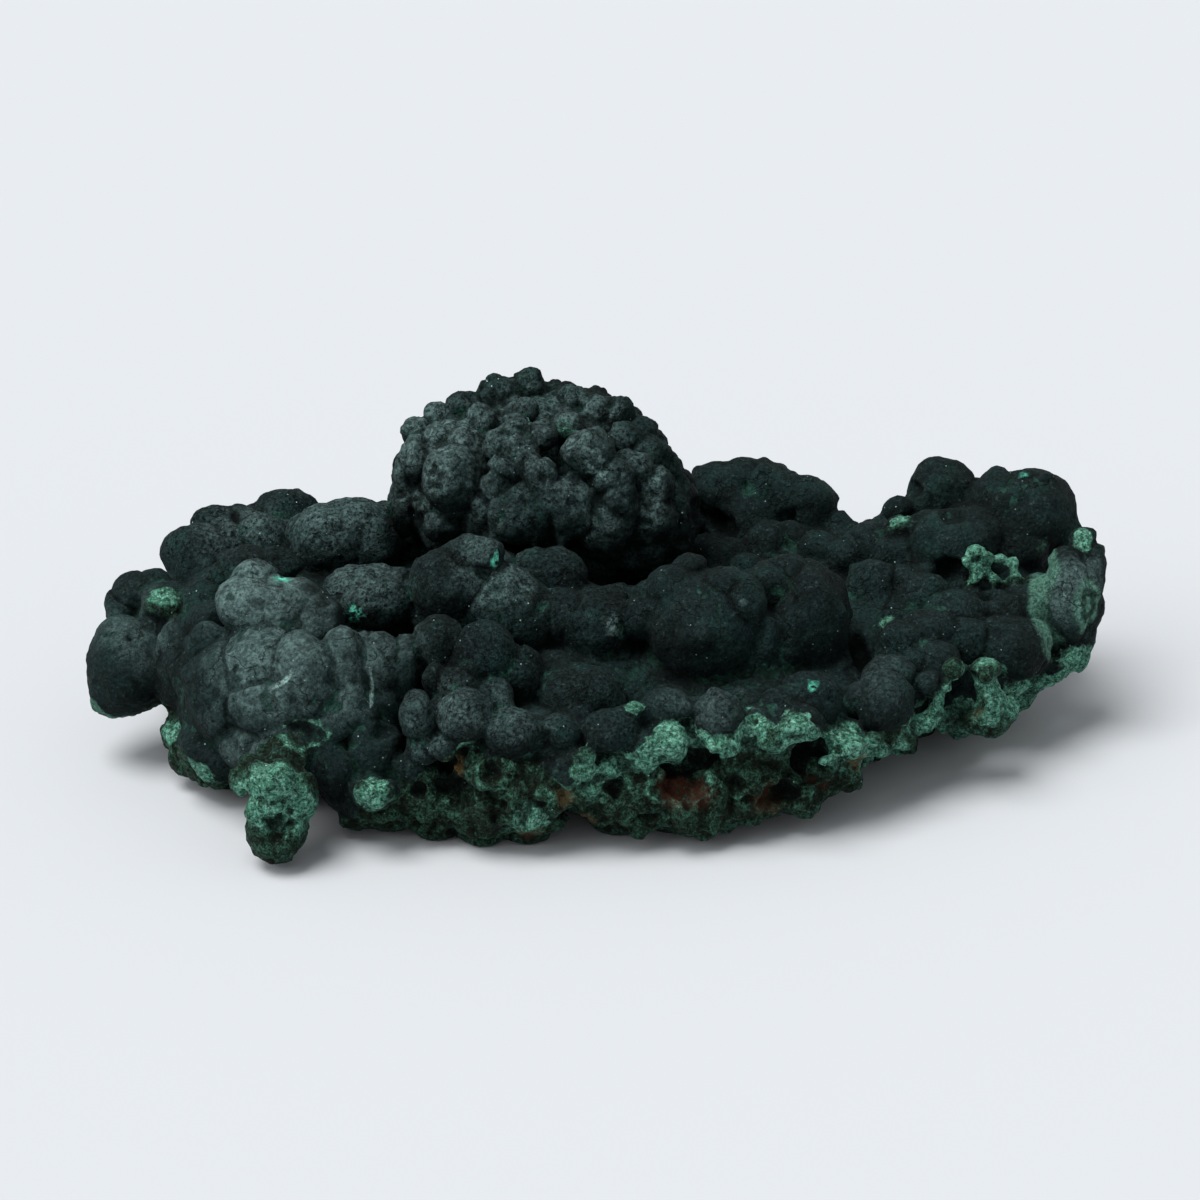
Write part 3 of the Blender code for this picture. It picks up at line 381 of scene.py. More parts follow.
# Smooth noise from -1 to 1: a cell's eight corners, blended by 3t^2 - 2t^3 along each axis.
def smoothNoise(points, width, seed):
    place = points / width
    low = np.floor(place).astype(np.int64)
    share = place - low
    share = share * share * (3 - 2 * share)
    total = np.zeros(len(points))
    for corner in np.ndindex(2, 2, 2):
        side = np.array(corner)
        weight = np.prod(np.where(side == 1, share, 1 - share), axis=1)
        total += weight * cellShare(low + side, seed)
    return total * 2 - 1


# Three octaves of smooth noise, each half as wide and half as high as the one before.
def roughNoise(points, width, seed):
    total = smoothNoise(points, width, seed)
    total += 0.5 * smoothNoise(points + 31.7 * width, width / 2.03, seed + 1)
    total += 0.25 * smoothNoise(points + 57.3 * width, width / 4.1, seed + 2)
    return total / 1.75


# The points, each moved by smooth noise along all three axes.
def bentPoints(points, width, reach, seed):
    return points + reach * np.stack([smoothNoise(points, width, seed + axis) for axis in range(3)], axis=1)


# Distance in cell widths to the nearest of spots, one to a cell, and that spot's share from 0 to 1.
def spotDistances(points, width, seed):
    place = points / width
    low = np.floor(place).astype(np.int64)
    nearest = np.full(len(points), 9.0)
    owner = np.zeros((len(points), 3), np.int64)
    for corner in np.ndindex(3, 3, 3):
        cell = low + np.array(corner) - 1
        gap = np.zeros(len(points))
        for axis in range(3):
            gap += (cell[:, axis] + cellShare(cell, seed + axis) - place[:, axis]) ** 2
        gap = np.sqrt(gap)
        closer = gap < nearest
        owner[closer] = cell[closer]
        nearest = np.where(closer, gap, nearest)
    return nearest, cellShare(owner, seed + 5)


# Round humps with sharp creases between: sqrt(1 - d^2), where d is the distance to the nearest spot, less
# what that is on average.
def humps(points, width, seed):
    nearest, share = spotDistances(bentPoints(points, width, width * 0.2, seed + 8), width, seed)
    return (np.sqrt(np.clip(1 - nearest ** 2, 0, 1)) - 0.8) * (0.6 + 0.8 * share)


def smoothStep(low, high, value):
    share = np.clip((value - low) / (high - low), 0, 1)
    return share * share * (3 - 2 * share)


# Distance from a middle, in an ellipsoid's own half sizes.
def ellipsoidShare(points, middle, half):
    return np.sqrt((((points - middle) / half) ** 2).sum(axis=1))


# Ellipsoids: x = cx + a r sin v cos u, y = cy + b r sin v sin u, z = cz + c r cos v, with u round the lobe,
# v from its top to its bottom, and r close to 1 by noise. Nothing goes below the ground.
def lobeSurfaces(middles, halves, around, along):
    v = np.linspace(0, math.pi, along + 1)[1:-1, None]
    u = np.linspace(0, 2 * math.pi, around, endpoint=False)[None, :]
    rings = np.stack([np.sin(v) * np.cos(u), np.sin(v) * np.sin(u), np.cos(v) + 0 * u], axis=-1)
    unit = np.vstack([[[0, 0, 1]], rings.reshape(-1, 3), [[0, 0, -1]]])
    ownPlace = unit[None, :, :] + middles[:, None, :] * 3.7
    stray = roughNoise(ownPlace.reshape(-1, 3), 0.9, 200).reshape(len(middles), -1, 1)
    stray *= (stoneShape["wobble"] * np.clip(9 / halves.max(axis=1), 0.15, 1))[:, None, None]
    points = middles[:, None, :] + halves[:, None, :] * unit[None, :, :] * (1 + stray)
    points[..., 2] = np.maximum(points[..., 2], 0)
    turn = np.arange(around)
    ahead = (turn + 1) % around
    last = 1 + (along - 2) * around
    faces = [np.stack([0 * turn, 1 + turn, 1 + ahead], axis=1),
             np.stack([0 * turn + len(unit) - 1, last + ahead, last + turn], axis=1)]
    for near in range(1, last, around):
        far = near + around
        faces.append(np.stack([near + turn, far + turn, far + ahead], axis=1))
        faces.append(np.stack([near + turn, far + ahead, near + ahead], axis=1))
    offsets = np.arange(len(middles))[:, None, None] * len(unit)
    return points.reshape(-1, 3), (np.vstack(faces)[None, :, :] + offsets).reshape(-1, 3)


# A mesh from whole arrays of points and faces.
def meshFromArrays(name, points, faces):
    mesh = bpy.data.meshes.new(name)
    mesh.vertices.add(len(points))
    mesh.vertices.foreach_set("co", np.ascontiguousarray(points, np.float32).ravel())
    mesh.loops.add(faces.size)
    mesh.loops.foreach_set("vertex_index", np.ascontiguousarray(faces, np.int32).ravel())
    mesh.polygons.add(len(faces))
    mesh.polygons.foreach_set("loop_start", np.arange(len(faces), dtype=np.int32) * faces.shape[1])
    mesh.update(calc_edges=True)
    return mesh


def readMesh(items, what, width, kind=np.float32):
    values = np.empty(len(items) * width, kind)
    items.foreach_get(what, values)
    return values.reshape(-1, width)


def meshPoints(mesh):
    return readMesh(mesh.vertices, "co", 3).astype(np.float64)


def meshNormals(mesh):
    return readMesh(mesh.vertex_normals, "vector", 3).astype(np.float64)


def meshEdges(mesh):
    return readMesh(mesh.edges, "vertices", 2, np.int32)


def setPoints(mesh, points):
    mesh.vertices.foreach_set("co", np.ascontiguousarray(points, np.float32).ravel())
    mesh.update()


def addToScene(name, data):
    thing = bpy.data.objects.new(name, data)
    bpy.context.scene.collection.objects.link(thing)
    return thing


# Each value becomes the mean of its neighbours' along the edges, so many times.
def spreadOut(values, edges, rounds):
    count = len(values)
    first, second = edges.T
    degree = np.maximum(np.bincount(first, minlength=count) + np.bincount(second, minlength=count), 1)
    columns = values if values.ndim == 2 else values[:, None]
    for _ in range(rounds):
        sums = [np.bincount(first, column[second], count) + np.bincount(second, column[first], count)
                for column in columns.T]
        columns = np.stack(sums, axis=1) / degree[:, None]
    return columns if values.ndim == 2 else columns[:, 0]


def applyModifiers(thing):
    graph = bpy.context.evaluated_depsgraph_get()
    mesh = bpy.data.meshes.new_from_object(thing.evaluated_get(graph))
    thing.modifiers.clear()
    thing.data = mesh


def fuse(thing, voxel):
    skin = thing.modifiers.new("fuse", "REMESH")
    skin.mode = "VOXEL"
    skin.voxel_size = voxel * mm
    applyModifiers(thing)


def pointOnLine(line, share):
    place = share * (len(line) - 1)
    first = min(int(place), len(line) - 2)
    return Vector(line[first]).lerp(Vector(line[first + 1]), place - first)


# A direction on the unit ball: the up share given, turned on by the golden angle for each index.
def goldenTurn(index, up):
    around = index * math.pi * (3 - math.sqrt(5))
    level = math.sqrt(1 - up * up)
    return Vector((level * math.cos(around), level * math.sin(around), up))


# The lobes that follow a rule, drawn in the part's own random order: knobs over the great dome, rows along
# the back, and lumps on the broken front wall and underneath.
def growLobes():
    chance = random.Random(grownLobes["seed"])
    grown = {"domeKnobs": [], "back": [], "wallLumps": [], "underLumps": []}
    x, y, z, halfWidth, halfHeight = stoneLobes["greatDome"][0]
    half = Vector((halfWidth, (halfWidth + halfHeight) / 2, halfHeight))
    for index in range(grownLobes["domeKnobs"]):
        middle = Vector((x, y, z)) + half * goldenTurn(index, 0.97 - 0.95 * index / grownLobes["domeKnobs"])
        if middle[1] < y - 4:
            continue
        radius = chance.uniform(*grownLobes["domeKnobRadius"])
        grown["domeKnobs"].append((*middle, radius, radius, radius * chance.uniform(0.8, 1.1)))
    for row, (rise, inward, least, most) in enumerate(grownLobes["backRows"]):
        for index in range(grownLobes["backLobes"]):
            share = (index + (row % 2) / 2) / (grownLobes["backLobes"] - 1 / 2)
            middle = pointOnLine(grownLobes["backLine"], share) + Vector((0, inward, rise))
            middle += Vector([chance.uniform(-1.5, 1.5) for _ in range(3)])
            radius = chance.uniform(least, most)
            grown["back"].append((*middle, radius, radius * 0.9, radius * chance.uniform(0.8, 1.0)))
            for _ in range(grownLobes["backKnobs"]):
                side = Vector((chance.uniform(-1, 1), chance.uniform(0.2, 1), chance.uniform(-0.6, 1)))
                knob = radius * chance.uniform(0.25, 0.45)
                grown["back"].append((*(middle + side.normalized() * radius * 0.85), knob, knob, knob))
    for _ in range(grownLobes["wallLumps"]):
        radius = chance.uniform(1.0, 2.4)
        x, y, z, halfWidth, halfHeight = chance.choice(stoneLobes["frontWall"])
        across, up = chance.uniform(-0.8, 0.8), chance.uniform(-0.75, 0.8)
        out = math.sqrt(max(0, 1 - across * across - up * up))
        halfDepth = (halfWidth + halfHeight) / 2
        middle = (x + halfWidth * across, y - halfDepth * out, z + halfHeight * up)
        grown["wallLumps"].append((*middle, radius, radius, radius * chance.uniform(0.7, 1.1)))
    for x, y, z, *half in innerLobes["bed"]:
        for index in range(grownLobes["underLumps"]):
            turn = goldenTurn(index, -1 + 0.8 * index / grownLobes["underLumps"])
            radius = chance.uniform(*grownLobes["underLumpRadius"])
            middle = Vector((x, y, z)) + Vector(half) * turn
            grown["underLumps"].append((*middle, radius, radius, radius))
    return grown


# All lobes as arrays: the outer ones' middles, half sizes and finish, and the inner ones' middles with half
# sizes.
def gatherLobes():
    clusters = {name: [(x, y, z, w, (w + h) / 2, h) for x, y, z, w, h in rows]
                for name, rows in {**stoneLobes, **surfaceLobes}.items()}
    clusters.update(growLobes())
    rows = np.array([row for cluster in clusters.values() for row in cluster])
    finish = np.array([clusterFinish[name] for name, cluster in clusters.items() for _ in cluster])
    cores, bed = np.array(innerLobes["cores"]), np.array(innerLobes["bed"])
    cores[:, 3:] *= stoneShape["coreShare"]
    return rows[:, :3], rows[:, 3:], finish, np.vstack([cores, bed])


# How far each point lies outside its nearest and second nearest lobes, negative inside, and which they are:
# the share by which the point lies outside, times the lobe's smallest half size.
def nearestLobes(points, middles, halves):
    order = np.argsort(points[:, 0])
    ordered = points[order]
    gaps = np.full((2, len(points)), 99.0)
    owners = np.zeros((2, len(points)), np.int64)
    for number, (middle, half) in enumerate(zip(middles, halves)):
        reach = half + stoneShape["reach"]
        low, high = np.searchsorted(ordered[:, 0], (middle[0] - reach[0], middle[0] + reach[0]))
        beside = np.abs(ordered[low:high, 1] - middle[1]) < reach[1]
        rows = low + np.flatnonzero(beside)
        gap = (ellipsoidShare(ordered[rows], middle, half) - 1) * half.min()
        closer = gap < gaps[0, rows]
        gaps[1, rows[closer]], owners[1, rows[closer]] = gaps[0, rows[closer]], owners[0, rows[closer]]
        gaps[0, rows[closer]], owners[0, rows[closer]] = gap[closer], number
        behind = ~closer & (gap < gaps[1, rows])
        gaps[1, rows[behind]], owners[1, rows[behind]] = gap[behind], number
    back = np.argsort(order)
    return gaps[:, back], owners[:, back]


# How far the seam between two lobes is filled: m/4 (1 - g/m)^2, where g is how much nearer one lobe is and m
# how far they merge. Then the fine crease that stays, from 0 to 1, in places where faces meet at an angle.
def lobeSeams(points, middles, halves, gaps, owners, merge):
    apart = gaps[1] - gaps[0]
    fill = merge / 4 * np.clip(1 - apart / merge, 0, 1) ** 2
    first, second = ((points - middles[owner]) / halves[owner] ** 2 for owner in owners)
    cosine = (first * second).sum(axis=1) / np.linalg.norm(first, axis=1) / np.linalg.norm(second, axis=1)
    seam = (1 - smoothStep(0, 0.8, apart)) * smoothStep(0.06, 0.45, 1 - cosine)
    seam *= gaps[1] < stoneShape["reach"]
    return fill, seam * smoothStep(-0.35, 0.25, roughNoise(points, 6.0, 400))


smallKnobRule = {
    "seed": 11,
    "tries": 6000,
    "most": 1500,
    "leastHost": 3.4,           # mm, the smallest half size of a lobe that bears knobs
    "lowest": 1.5,              # mm above the ground
    "covered": -0.4,            # mm, how far outside other lobes a knob has to be
    "share": (0.16, 0.34),      # a knob's radius as a share of its lobe's smallest half size
    "radius": (1.4, 2.8),       # mm
    "stretch": (0.8, 1.15),
    "sunk": 0.55,               # as a share of the radius
}


# Small knobs at random on the open faces of the larger lobes, more where the cluster is bumpy.
def smallKnobs(middles, halves, finish):
    rule = smallKnobRule
    chance = np.random.default_rng(rule["seed"])
    weight = halves.prod(axis=1) ** (2 / 3) * (finish[:, 1] + 0.05)
    host = chance.choice(len(middles), rule["tries"], p=weight / weight.sum())
    aim = chance.normal(size=(len(host), 3))
    aim /= np.linalg.norm(aim, axis=1, keepdims=True)
    spots = middles[host] + halves[host] * aim
    size = halves[host].min(axis=1)
    bare = nearestLobes(spots, middles, halves)[0][0] > rule["covered"]
    bare &= (spots[:, 2] > rule["lowest"]) & (size > rule["leastHost"])
    spots, size, aim = (values[bare][:rule["most"]] for values in (spots, size, aim))
    radius = np.clip(size * chance.uniform(*rule["share"], len(spots)), *rule["radius"])
    stretched = radius[:, None] * chance.uniform(*rule["stretch"], (len(spots), 3))
    return spots - aim * radius[:, None] * rule["sunk"], stretched


# A share from 0 to 1 for each point, highest near the spots of (x, y, z, radius, strength).
def nearSpots(points, spots, fray, seed):
    total = np.zeros(len(points))
    stray = fray * roughNoise(points, 2.4, seed)
    for x, y, z, radius, strength in spots:
        away = ellipsoidShare(points, (x, y, z), 1) / radius
        total = np.maximum(total, strength * (1 - smoothStep(0.55, 1.15, away + stray)))
    return total


# Distance from a hollow's middle, in its own half sizes. It reaches deeper than it is wide.
def hollowShare(points, x, y, z, halfWidth, halfHeight):
    halfDepth = max(halfWidth, halfHeight) * 1.3
    return ellipsoidShare(points, (x, y, z), (halfWidth, halfDepth, halfHeight))


# How crusty each point is, from 0 to 1: its cluster's share, all that lies under the wandering line on the
# outer side, and the green patches. Then how light and fresh that crust is: most in the patches, on the
# crustiest clusters and just under the line.
def crustShares(points, clusterCrust):
    front, edgeDepth = (np.interp(points[:, 0], crustLine["across"], crustLine[what])
                        for what in ("front", "edgeDepth"))
    outward = 1 - smoothStep(*crustLine["inward"], points[:, 1] - edgeDepth)
    line = crustLine["back"] + (front - crustLine["back"]) * outward
    line += crustLine["stray"] * roughNoise(points, 5.0, 300)
    below = line - points[:, 2]
    patches = nearSpots(points, greenPatches, 0.45, 310)
    crust = np.maximum(np.maximum(smoothStep(*crustLine["edge"], below), patches), clusterCrust * 0.9)
    band = 0.8 * smoothStep(*crustLine["bandTop"], below) * (1 - smoothStep(*crustLine["bandFoot"], below))
    rightward = smoothStep(*crustLine["bandAcross"], points[:, 0])
    band *= smoothStep(-0.75, -0.1, roughNoise(points, 7.0, 350)) * rightward
    fresh = np.maximum(np.maximum(patches, band), smoothStep(0.75, 0.9, clusterCrust))
    return np.clip(crust, 0, 1), np.clip(fresh, 0, 1)


# Layers of the relief, in mm. Each ends with its width and its seed, and begins with its height or depth and
# what bumpiness, freshness or ruggedness adds to it.
stoneRelief = {
    "swellings": (0.30, 7.0, 3),
    "ripples": (0.22, 3.2, 5),
    "humps": [(0.6, 1.7, 6.2, 50), (0.35, 1.35, 3.1, 70)],
    "fineHumps": (0.25, 1.0, 1.7, 110),
    "drapes": (0.9, 0.5, 3.9, 130),
    "ridges": (0.4, 0.7, 4.2, 41),
    "upright": (1, 1, 0.45),    # the stretch of drapes and ridges
    # depth, where on the noise they begin, and their stretch
    "caves": [(3.2, 0.16, (0.6, 0.6, 1), 5.4, 20), (0.9, 0.20, (1, 1, 1), 2.2, 30)],
    "caveFloor": 0.46,          # where on the noise they end
    "hollowFray": (0.50, 2.4, 47),
    "pinholes": (0.7, 1.7, 80),
    "pinholeEdge": (0.14, 0.34),
    "grain": (0.16, 2.0, 99),
    "footing": (0.3, 2.2),      # above the ground, where the relief sets in
    "fineFooting": (0.3, 1.8),
}


# Height in mm along the normal before the second skin. On the lobes: swellings, filled seams with creases,
# and humps on humps. On the crust: lumps and ridges stretched up and down, with ragged caves between. Then
# the named hollows. A small lobe sinks by no more than a share of its size, or it would come to a point.
def coarseRelief(points, skin):
    crust, fresh, bumpy = skin["crust"], skin["fresh"], skin["bumpy"]
    smooth = 1 - crust
    rise, *layer = stoneRelief["swellings"]
    height = rise * roughNoise(points, *layer)
    rise, *layer = stoneRelief["ripples"]
    height = height + rise * smooth * roughNoise(points, *layer)
    height += skin["fill"] - (0.25 + 0.4 * smooth) * skin["seam"]
    for rise, more, *layer in stoneRelief["humps"]:
        height += smooth * (rise + more * bumpy) * humps(points, *layer)
    upright = points * stoneRelief["upright"]
    rugged = crust * (1 - 0.85 * fresh)
    rise, more, *layer = stoneRelief["drapes"]
    height += crust * ((rise + more * fresh) * humps(upright, *layer) - 0.5)
    rise, more, *layer = stoneRelief["ridges"]
    height += (rise * crust + more * rugged) * (0.4 - 1.6 * np.abs(roughNoise(upright, *layer)))
    height = np.maximum(height, -0.35 * skin["size"] - 3 * rugged)
    for depth, begins, stretch, *layer in stoneRelief["caves"]:
        cave = smoothStep(begins, stoneRelief["caveFloor"], roughNoise(points * stretch, *layer))
        height -= rugged * depth * cave
    fray, *layer = stoneRelief["hollowFray"]
    stray = fray * roughNoise(points, *layer)
    for *hollow, depth, green in sunkHollows:
        height -= depth * (1 - smoothStep(0.55, 1.0, hollowShare(points, *hollow) + stray))
    return height * smoothStep(*stoneRelief["footing"], points[:, 2])


# Height in mm for the second skin: the smallest humps, pinholes in clumps, and a grain on the crust.
def fineRelief(points, skin):
    crust, bumpy = skin["crust"], skin["bumpy"]
    smooth = 1 - crust
    rise, more, *layer = stoneRelief["fineHumps"]
    height = smooth * (rise + more * bumpy) * humps(points, *layer) - 0.30 * smooth * skin["seam"]
    depth, *layer = stoneRelief["pinholes"]
    nearest, share = spotDistances(points, *layer)
    clumps = smoothStep(0.0, 0.4, smoothNoise(points, 8.0, 90))
    hole = 1 - smoothStep(*stoneRelief["pinholeEdge"], nearest)
    height -= depth * skin["pits"] * smooth * clumps * hole * (share > 0.5)
    height += crust * (0.7 * humps(points * (1, 1, 0.7), 1.6, 150) + 0.4 * roughNoise(points, 1.3, 95))
    rise, *layer = stoneRelief["grain"]
    height += rise * roughNoise(points, *layer)
    return height * smoothStep(*stoneRelief["fineFooting"], points[:, 2])


# What a skin's points are like, by name: their lobes' finish, spread a little, the crust and the seams.
def readSkin(points, edges, middles, halves, finish):
    gaps, owners = nearestLobes(bentPoints(points, 5.0, 0.9, 410), middles, halves)
    crust, bumpy, pits, merge = spreadOut(finish[owners[0]], edges, 6).T
    crust, fresh = crustShares(points, crust)
    fill, seam = lobeSeams(points, middles, halves, gaps, owners, merge)
    size = spreadOut(halves[owners[0]].min(axis=1), edges, 3)
    return dict(crust=crust, fresh=fresh, bumpy=bumpy, pits=pits, fill=fill, seam=seam, size=size)


# One skin over everything in the object, then the relief along its normals, evened out first so that filled
# seams don't fold.
def reliefOnSkin(stone, relief, lobes, voxel, evened):
    fuse(stone, voxel)
    points = meshPoints(stone.data) / mm
    edges = meshEdges(stone.data)
    normals = spreadOut(meshNormals(stone.data), edges, evened)
    normals /= np.maximum(np.linalg.norm(normals, axis=1, keepdims=True), 1e-6)
    height = relief(points, readSkin(points, edges, *lobes))
    setPoints(stone.data, (points + normals * height[:, None]) * mm)
    print("skin points:", len(points))


# The largest connected part, without the pockets that the skins closed in. Each point takes the least label
# along its edges, then that label's own label, until nothing changes.
def largestPart(mesh):
    edges = meshEdges(mesh)
    labels = np.arange(len(mesh.vertices))
    before = None
    while before is None or (labels != before).any():
        before = labels.copy()
        for near, far in (edges.T, edges.T[::-1]):
            np.minimum.at(labels, labels[near], labels[far])
        labels = labels[labels]
    kept = labels == np.bincount(labels).argmax()
    faces = readMesh(mesh.loops, "vertex_index", 1, np.int32).reshape(-1, 3)
    faces = (np.cumsum(kept) - 1)[faces[kept[faces].all(axis=1)]]
    print("pocket points left out:", int((~kept).sum()))
    return meshFromArrays("malachiteStone", meshPoints(mesh)[kept], faces)


def buildStone():
    middles, halves, finish, inner = gatherLobes()
    lobes = (middles, halves, finish)
    knobs = smallKnobs(*lobes)
    big, bigFaces = lobeSurfaces(np.vstack([middles, inner[:, :3]]), np.vstack([halves, inner[:, 3:]]),
                                 *stoneShape["lobeSteps"])
    small, smallFaces = lobeSurfaces(*knobs, *stoneShape["knobSteps"])
    skin = meshFromArrays("malachiteStone", np.vstack([big, small]) * mm,
                          np.vstack([bigFaces, smallFaces + len(big)]))
    stone = addToScene("malachiteStone", skin)
    print("lobes placed:", len(middles), "and small knobs:", len(knobs[0]))

    reliefOnSkin(stone, coarseRelief, lobes, *stoneShape["coarseSkin"])
    reliefOnSkin(stone, fineRelief, lobes, *stoneShape["fineSkin"])
    stone.data.calc_loop_triangles()
    thin = stone.modifiers.new("thin", "DECIMATE")
    thin.ratio = min(1.0, stoneShape["triangles"] / len(stone.data.loop_triangles))
    thin.use_collapse_triangulate = True
    applyModifiers(stone)
    stone.data = largestPart(stone.data)
    fitToBox(stone.data)
    paintStone(stone.data, lobes)
    stone.data.shade_smooth()
    return stone


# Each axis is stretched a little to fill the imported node's box, and what nearly lies on the ground does.
def fitToBox(mesh):
    low, high = (np.array(corner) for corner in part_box("malachite"))
    points = meshPoints(mesh)
    ownLow, ownHigh = points.min(axis=0), points.max(axis=0)
    points = low + (points - ownLow) * (high - low) / (ownHigh - ownLow)
    points[:, 2] = np.where(points[:, 2] < stoneShape["flatBelow"] * mm, 0, points[:, 2])
    setPoints(mesh, points)
    boxFit.update(low=low, scale=(high - low) / (ownHigh - ownLow), ownLow=ownLow)


# How the tables' places became places in the frame.
boxFit = {}


def toTable(points):
    return ((points - boxFit["low"]) / boxFit["scale"] + boxFit["ownLow"]) / mm


def fromTable(point):
    return boxFit["low"] + (np.array(point) * mm - boxFit["ownLow"]) * boxFit["scale"]


# Distance in mm from each point to the nearest line of straight stretches. Depth counts for a quarter, so
# that a line laid near the surface marks it all along.
def lineDistance(points, lines):
    nearest = np.full(len(points), 99.0)
    points = points * (1, 0.25, 1)
    for line in lines:
        line = np.array(line) * (1, 0.25, 1)
        for start, end in zip(line, line[1:]):
            step = end - start
            along = np.clip((points - start) @ step / (step @ step), 0, 1)
            nearest = np.minimum(nearest, ellipsoidShare(points - start, along[:, None] * step, 1))
    return nearest


stonePaint = {
    "dustAndLightFrom": (-0.28, -0.45, 0.85),       # the side that dust settles on and that painted light falls on
    "dustAndLightLeast": 0.04,                      # how much dust and painted light there is away from the patches
    "nearRounds": 3,                        # how widely a point is compared with its surroundings
    "wideRounds": 40,
}


# Keeps where each finish lies on the points, and the masks for painted light and shade, for the material to
# read.
def paintStone(mesh, lobes):
    points = meshPoints(mesh)
    normals = meshNormals(mesh)
    edges = meshEdges(mesh)
    table = toTable(points)
    skin = readSkin(table, edges, *lobes)
    rims = np.zeros(len(points))
    depths = np.zeros(len(points))
    stray = 0.12 * smoothNoise(table, 1.8, 47)
    for *hollow, depth, green in sunkHollows:
        away = hollowShare(table, *hollow) + stray
        rims = np.maximum(rims, green * smoothStep(0.85, 1.0, away) * (1 - smoothStep(1.0, 1.25, away)))
        depths = np.maximum(depths, np.clip((depth - 0.8) / 2, 0, 1) * (1 - smoothStep(0.55, 0.95, away)))
    rings = [ellipsoidShare(table, (x, y, z), (halfWidth, halfWidth, halfHeight))
             for x, y, z, halfWidth, halfHeight in rosettes]
    near, wide = (((spreadOut(points, edges, rounds) - points) * normals).sum(axis=1) / mm
                  for rounds in (stonePaint["nearRounds"], stonePaint["wideRounds"]))
    # Grey dust and painted light, on the faces turned to the lit side and thickest in the patches.
    upward = spreadOut(normals, edges, 4) @ np.array(stonePaint["dustAndLightFrom"])
    dustAndLight = stonePaint["dustAndLightLeast"] + (1 - stonePaint["dustAndLightLeast"]) * nearSpots(table, dustAndLightPatches, 0.2, 320)
    painted = {
        "crust": np.maximum(skin["crust"], rims),
        "fresh": np.maximum(skin["fresh"], rims),
        "bumpy": skin["bumpy"],
        "pits": skin["pits"],
        "seam": skin["seam"],
        "crease": near,                     # mm that the point lies below its near surroundings
        "hollow": wide + 2.2 * depths,      # the same for wider ones, with the named hollows
        "dustAndLight": dustAndLight * smoothStep(-0.1, 0.9, upward),
        "rust": nearSpots(table, [spot[:5] for spot in oreSpots], 0.35, 130),
        "ochre": nearSpots(table, [(*spot[:4], spot[5]) for spot in oreSpots], 0.35, 140),
        "rings": np.min([np.full(len(points), 9.0), *rings], axis=0),
        "flecks": nearSpots(table, flecks, 0.8, 330),
        # painted glints on the lobes
        "paintedGlints": nearSpots(table, paintedGlints, 0.7, 340),
        "paleLines": lineDistance(table, paleLines),
        "paleRims": np.min([lineDistance(table, [rim]) / width for width, rim in paleRims], axis=0),
    }
    for name, values in painted.items():
        layer = mesh.attributes.new(name, "FLOAT", "POINT")
        layer.data.foreach_set("value", np.ascontiguousarray(values, np.float32))


# Shader helpers. Textures lie at the tree's place, and each layer goes over the tree's colour.
class ShaderTree:
    def __init__(self, material):
        material.use_nodes = True
        self.nodes = material.node_tree.nodes
        self.links = material.node_tree.links
        self.nodes.clear()

    def add(self, kind, settings=None, **inputs):
        node = self.nodes.new("ShaderNode" + kind)
        for name, value in (settings or {}).items():
            setattr(node, name, value)
        for name, value in inputs.items():
            self.feed(node, name.replace("_", " "), value)
        return node

    def feed(self, node, name, value):
        if hasattr(value, "is_output"):
            self.links.new(value, node.inputs[name])
        else:
            node.inputs[name].default_value = linearColour(value) if isinstance(value, str) else value

    def attribute(self, name):
        return self.add("Attribute", {"attribute_name": name}).outputs["Fac"]

    def math(self, operation, first, second=0.0):
        node = self.add("Math", {"operation": operation})
        self.feed(node, 0, first)
        self.feed(node, 1, second)
        return node.outputs[0]

    # The product of shares. One that is given as a tuple is spanned first.
    def times(self, *shares):
        shares = [self.span(*share) if isinstance(share, tuple) else share for share in shares]
        total = shares[0]
        for share in shares[1:]:
            total = self.math("MULTIPLY", total, share)
        return total

    # The sum of products, each given as a tuple of its factors.
    def total(self, *parts):
        products = [self.times(*part) for part in parts]
        total = products[0]
        for product in products[1:]:
            total = self.math("ADD", total, product)
        return total

    def span(self, value, low, high, toLow=0.0, toHigh=1.0):
        node = self.add("MapRange", {"interpolation_type": "SMOOTHSTEP"}, Value=value,
                        From_Min=low, From_Max=high, To_Min=toLow, To_Max=toHigh)
        return node.outputs["Result"]

    # Noise with features about this many mm wide.
    def noise(self, size, detail=3.0, roughness=0.55, distortion=0.0):
        node = self.add("TexNoise", Vector=self.place, Scale=1 / (size * mm), Detail=detail,
                        Roughness=roughness, Distortion=distortion)
        return node.outputs["Fac"]

    # The place, moved by smooth noise of this size in mm by up to about half the reach in mm.
    def bent(self, size, reach):
        stray = self.add("TexNoise", Vector=self.place, Scale=1 / (size * mm), Detail=3.0).outputs["Color"]
        node = self.add("VectorMath", {"operation": "MULTIPLY_ADD"})
        for number, value in enumerate((stray, (reach * mm,) * 3, self.place)):
            self.feed(node, number, value)
        return node.outputs[0]

    # Distance to the nearest of spots about this many mm apart, in those units.
    def spots(self, size, feature="F1", place=None):
        place = self.place if place is None else place
        node = self.add("TexVoronoi", {"feature": feature}, Vector=place, Scale=1 / (size * mm))
        return node.outputs["Distance"]

    def blend(self, share, first, second, how="MIX"):
        node = self.add("Mix", {"data_type": "RGBA", "blend_type": how})
        for number, value in ((0, share), (6, first), (7, second)):
            self.feed(node, number, value)
        return node.outputs[2]

    # Lays a colour over the tree's own, by the product of the shares.
    def over(self, colour, *shares):
        self.colour = self.blend(self.times(*shares), self.colour, colour)

    # A colour for each share, through the named stops, the first at low and the rest a step apart.
    def ramp(self, share, low, step, names):
        node = self.add("ValToRGB", Fac=share)
        elements = node.color_ramp.elements
        while len(elements) < len(names):
            elements.new(0.5)
        for number, (element, name) in enumerate(zip(elements, names)):
            element.position = low + step * number
            element.color = linearColour(name)
        return node.outputs["Color"]


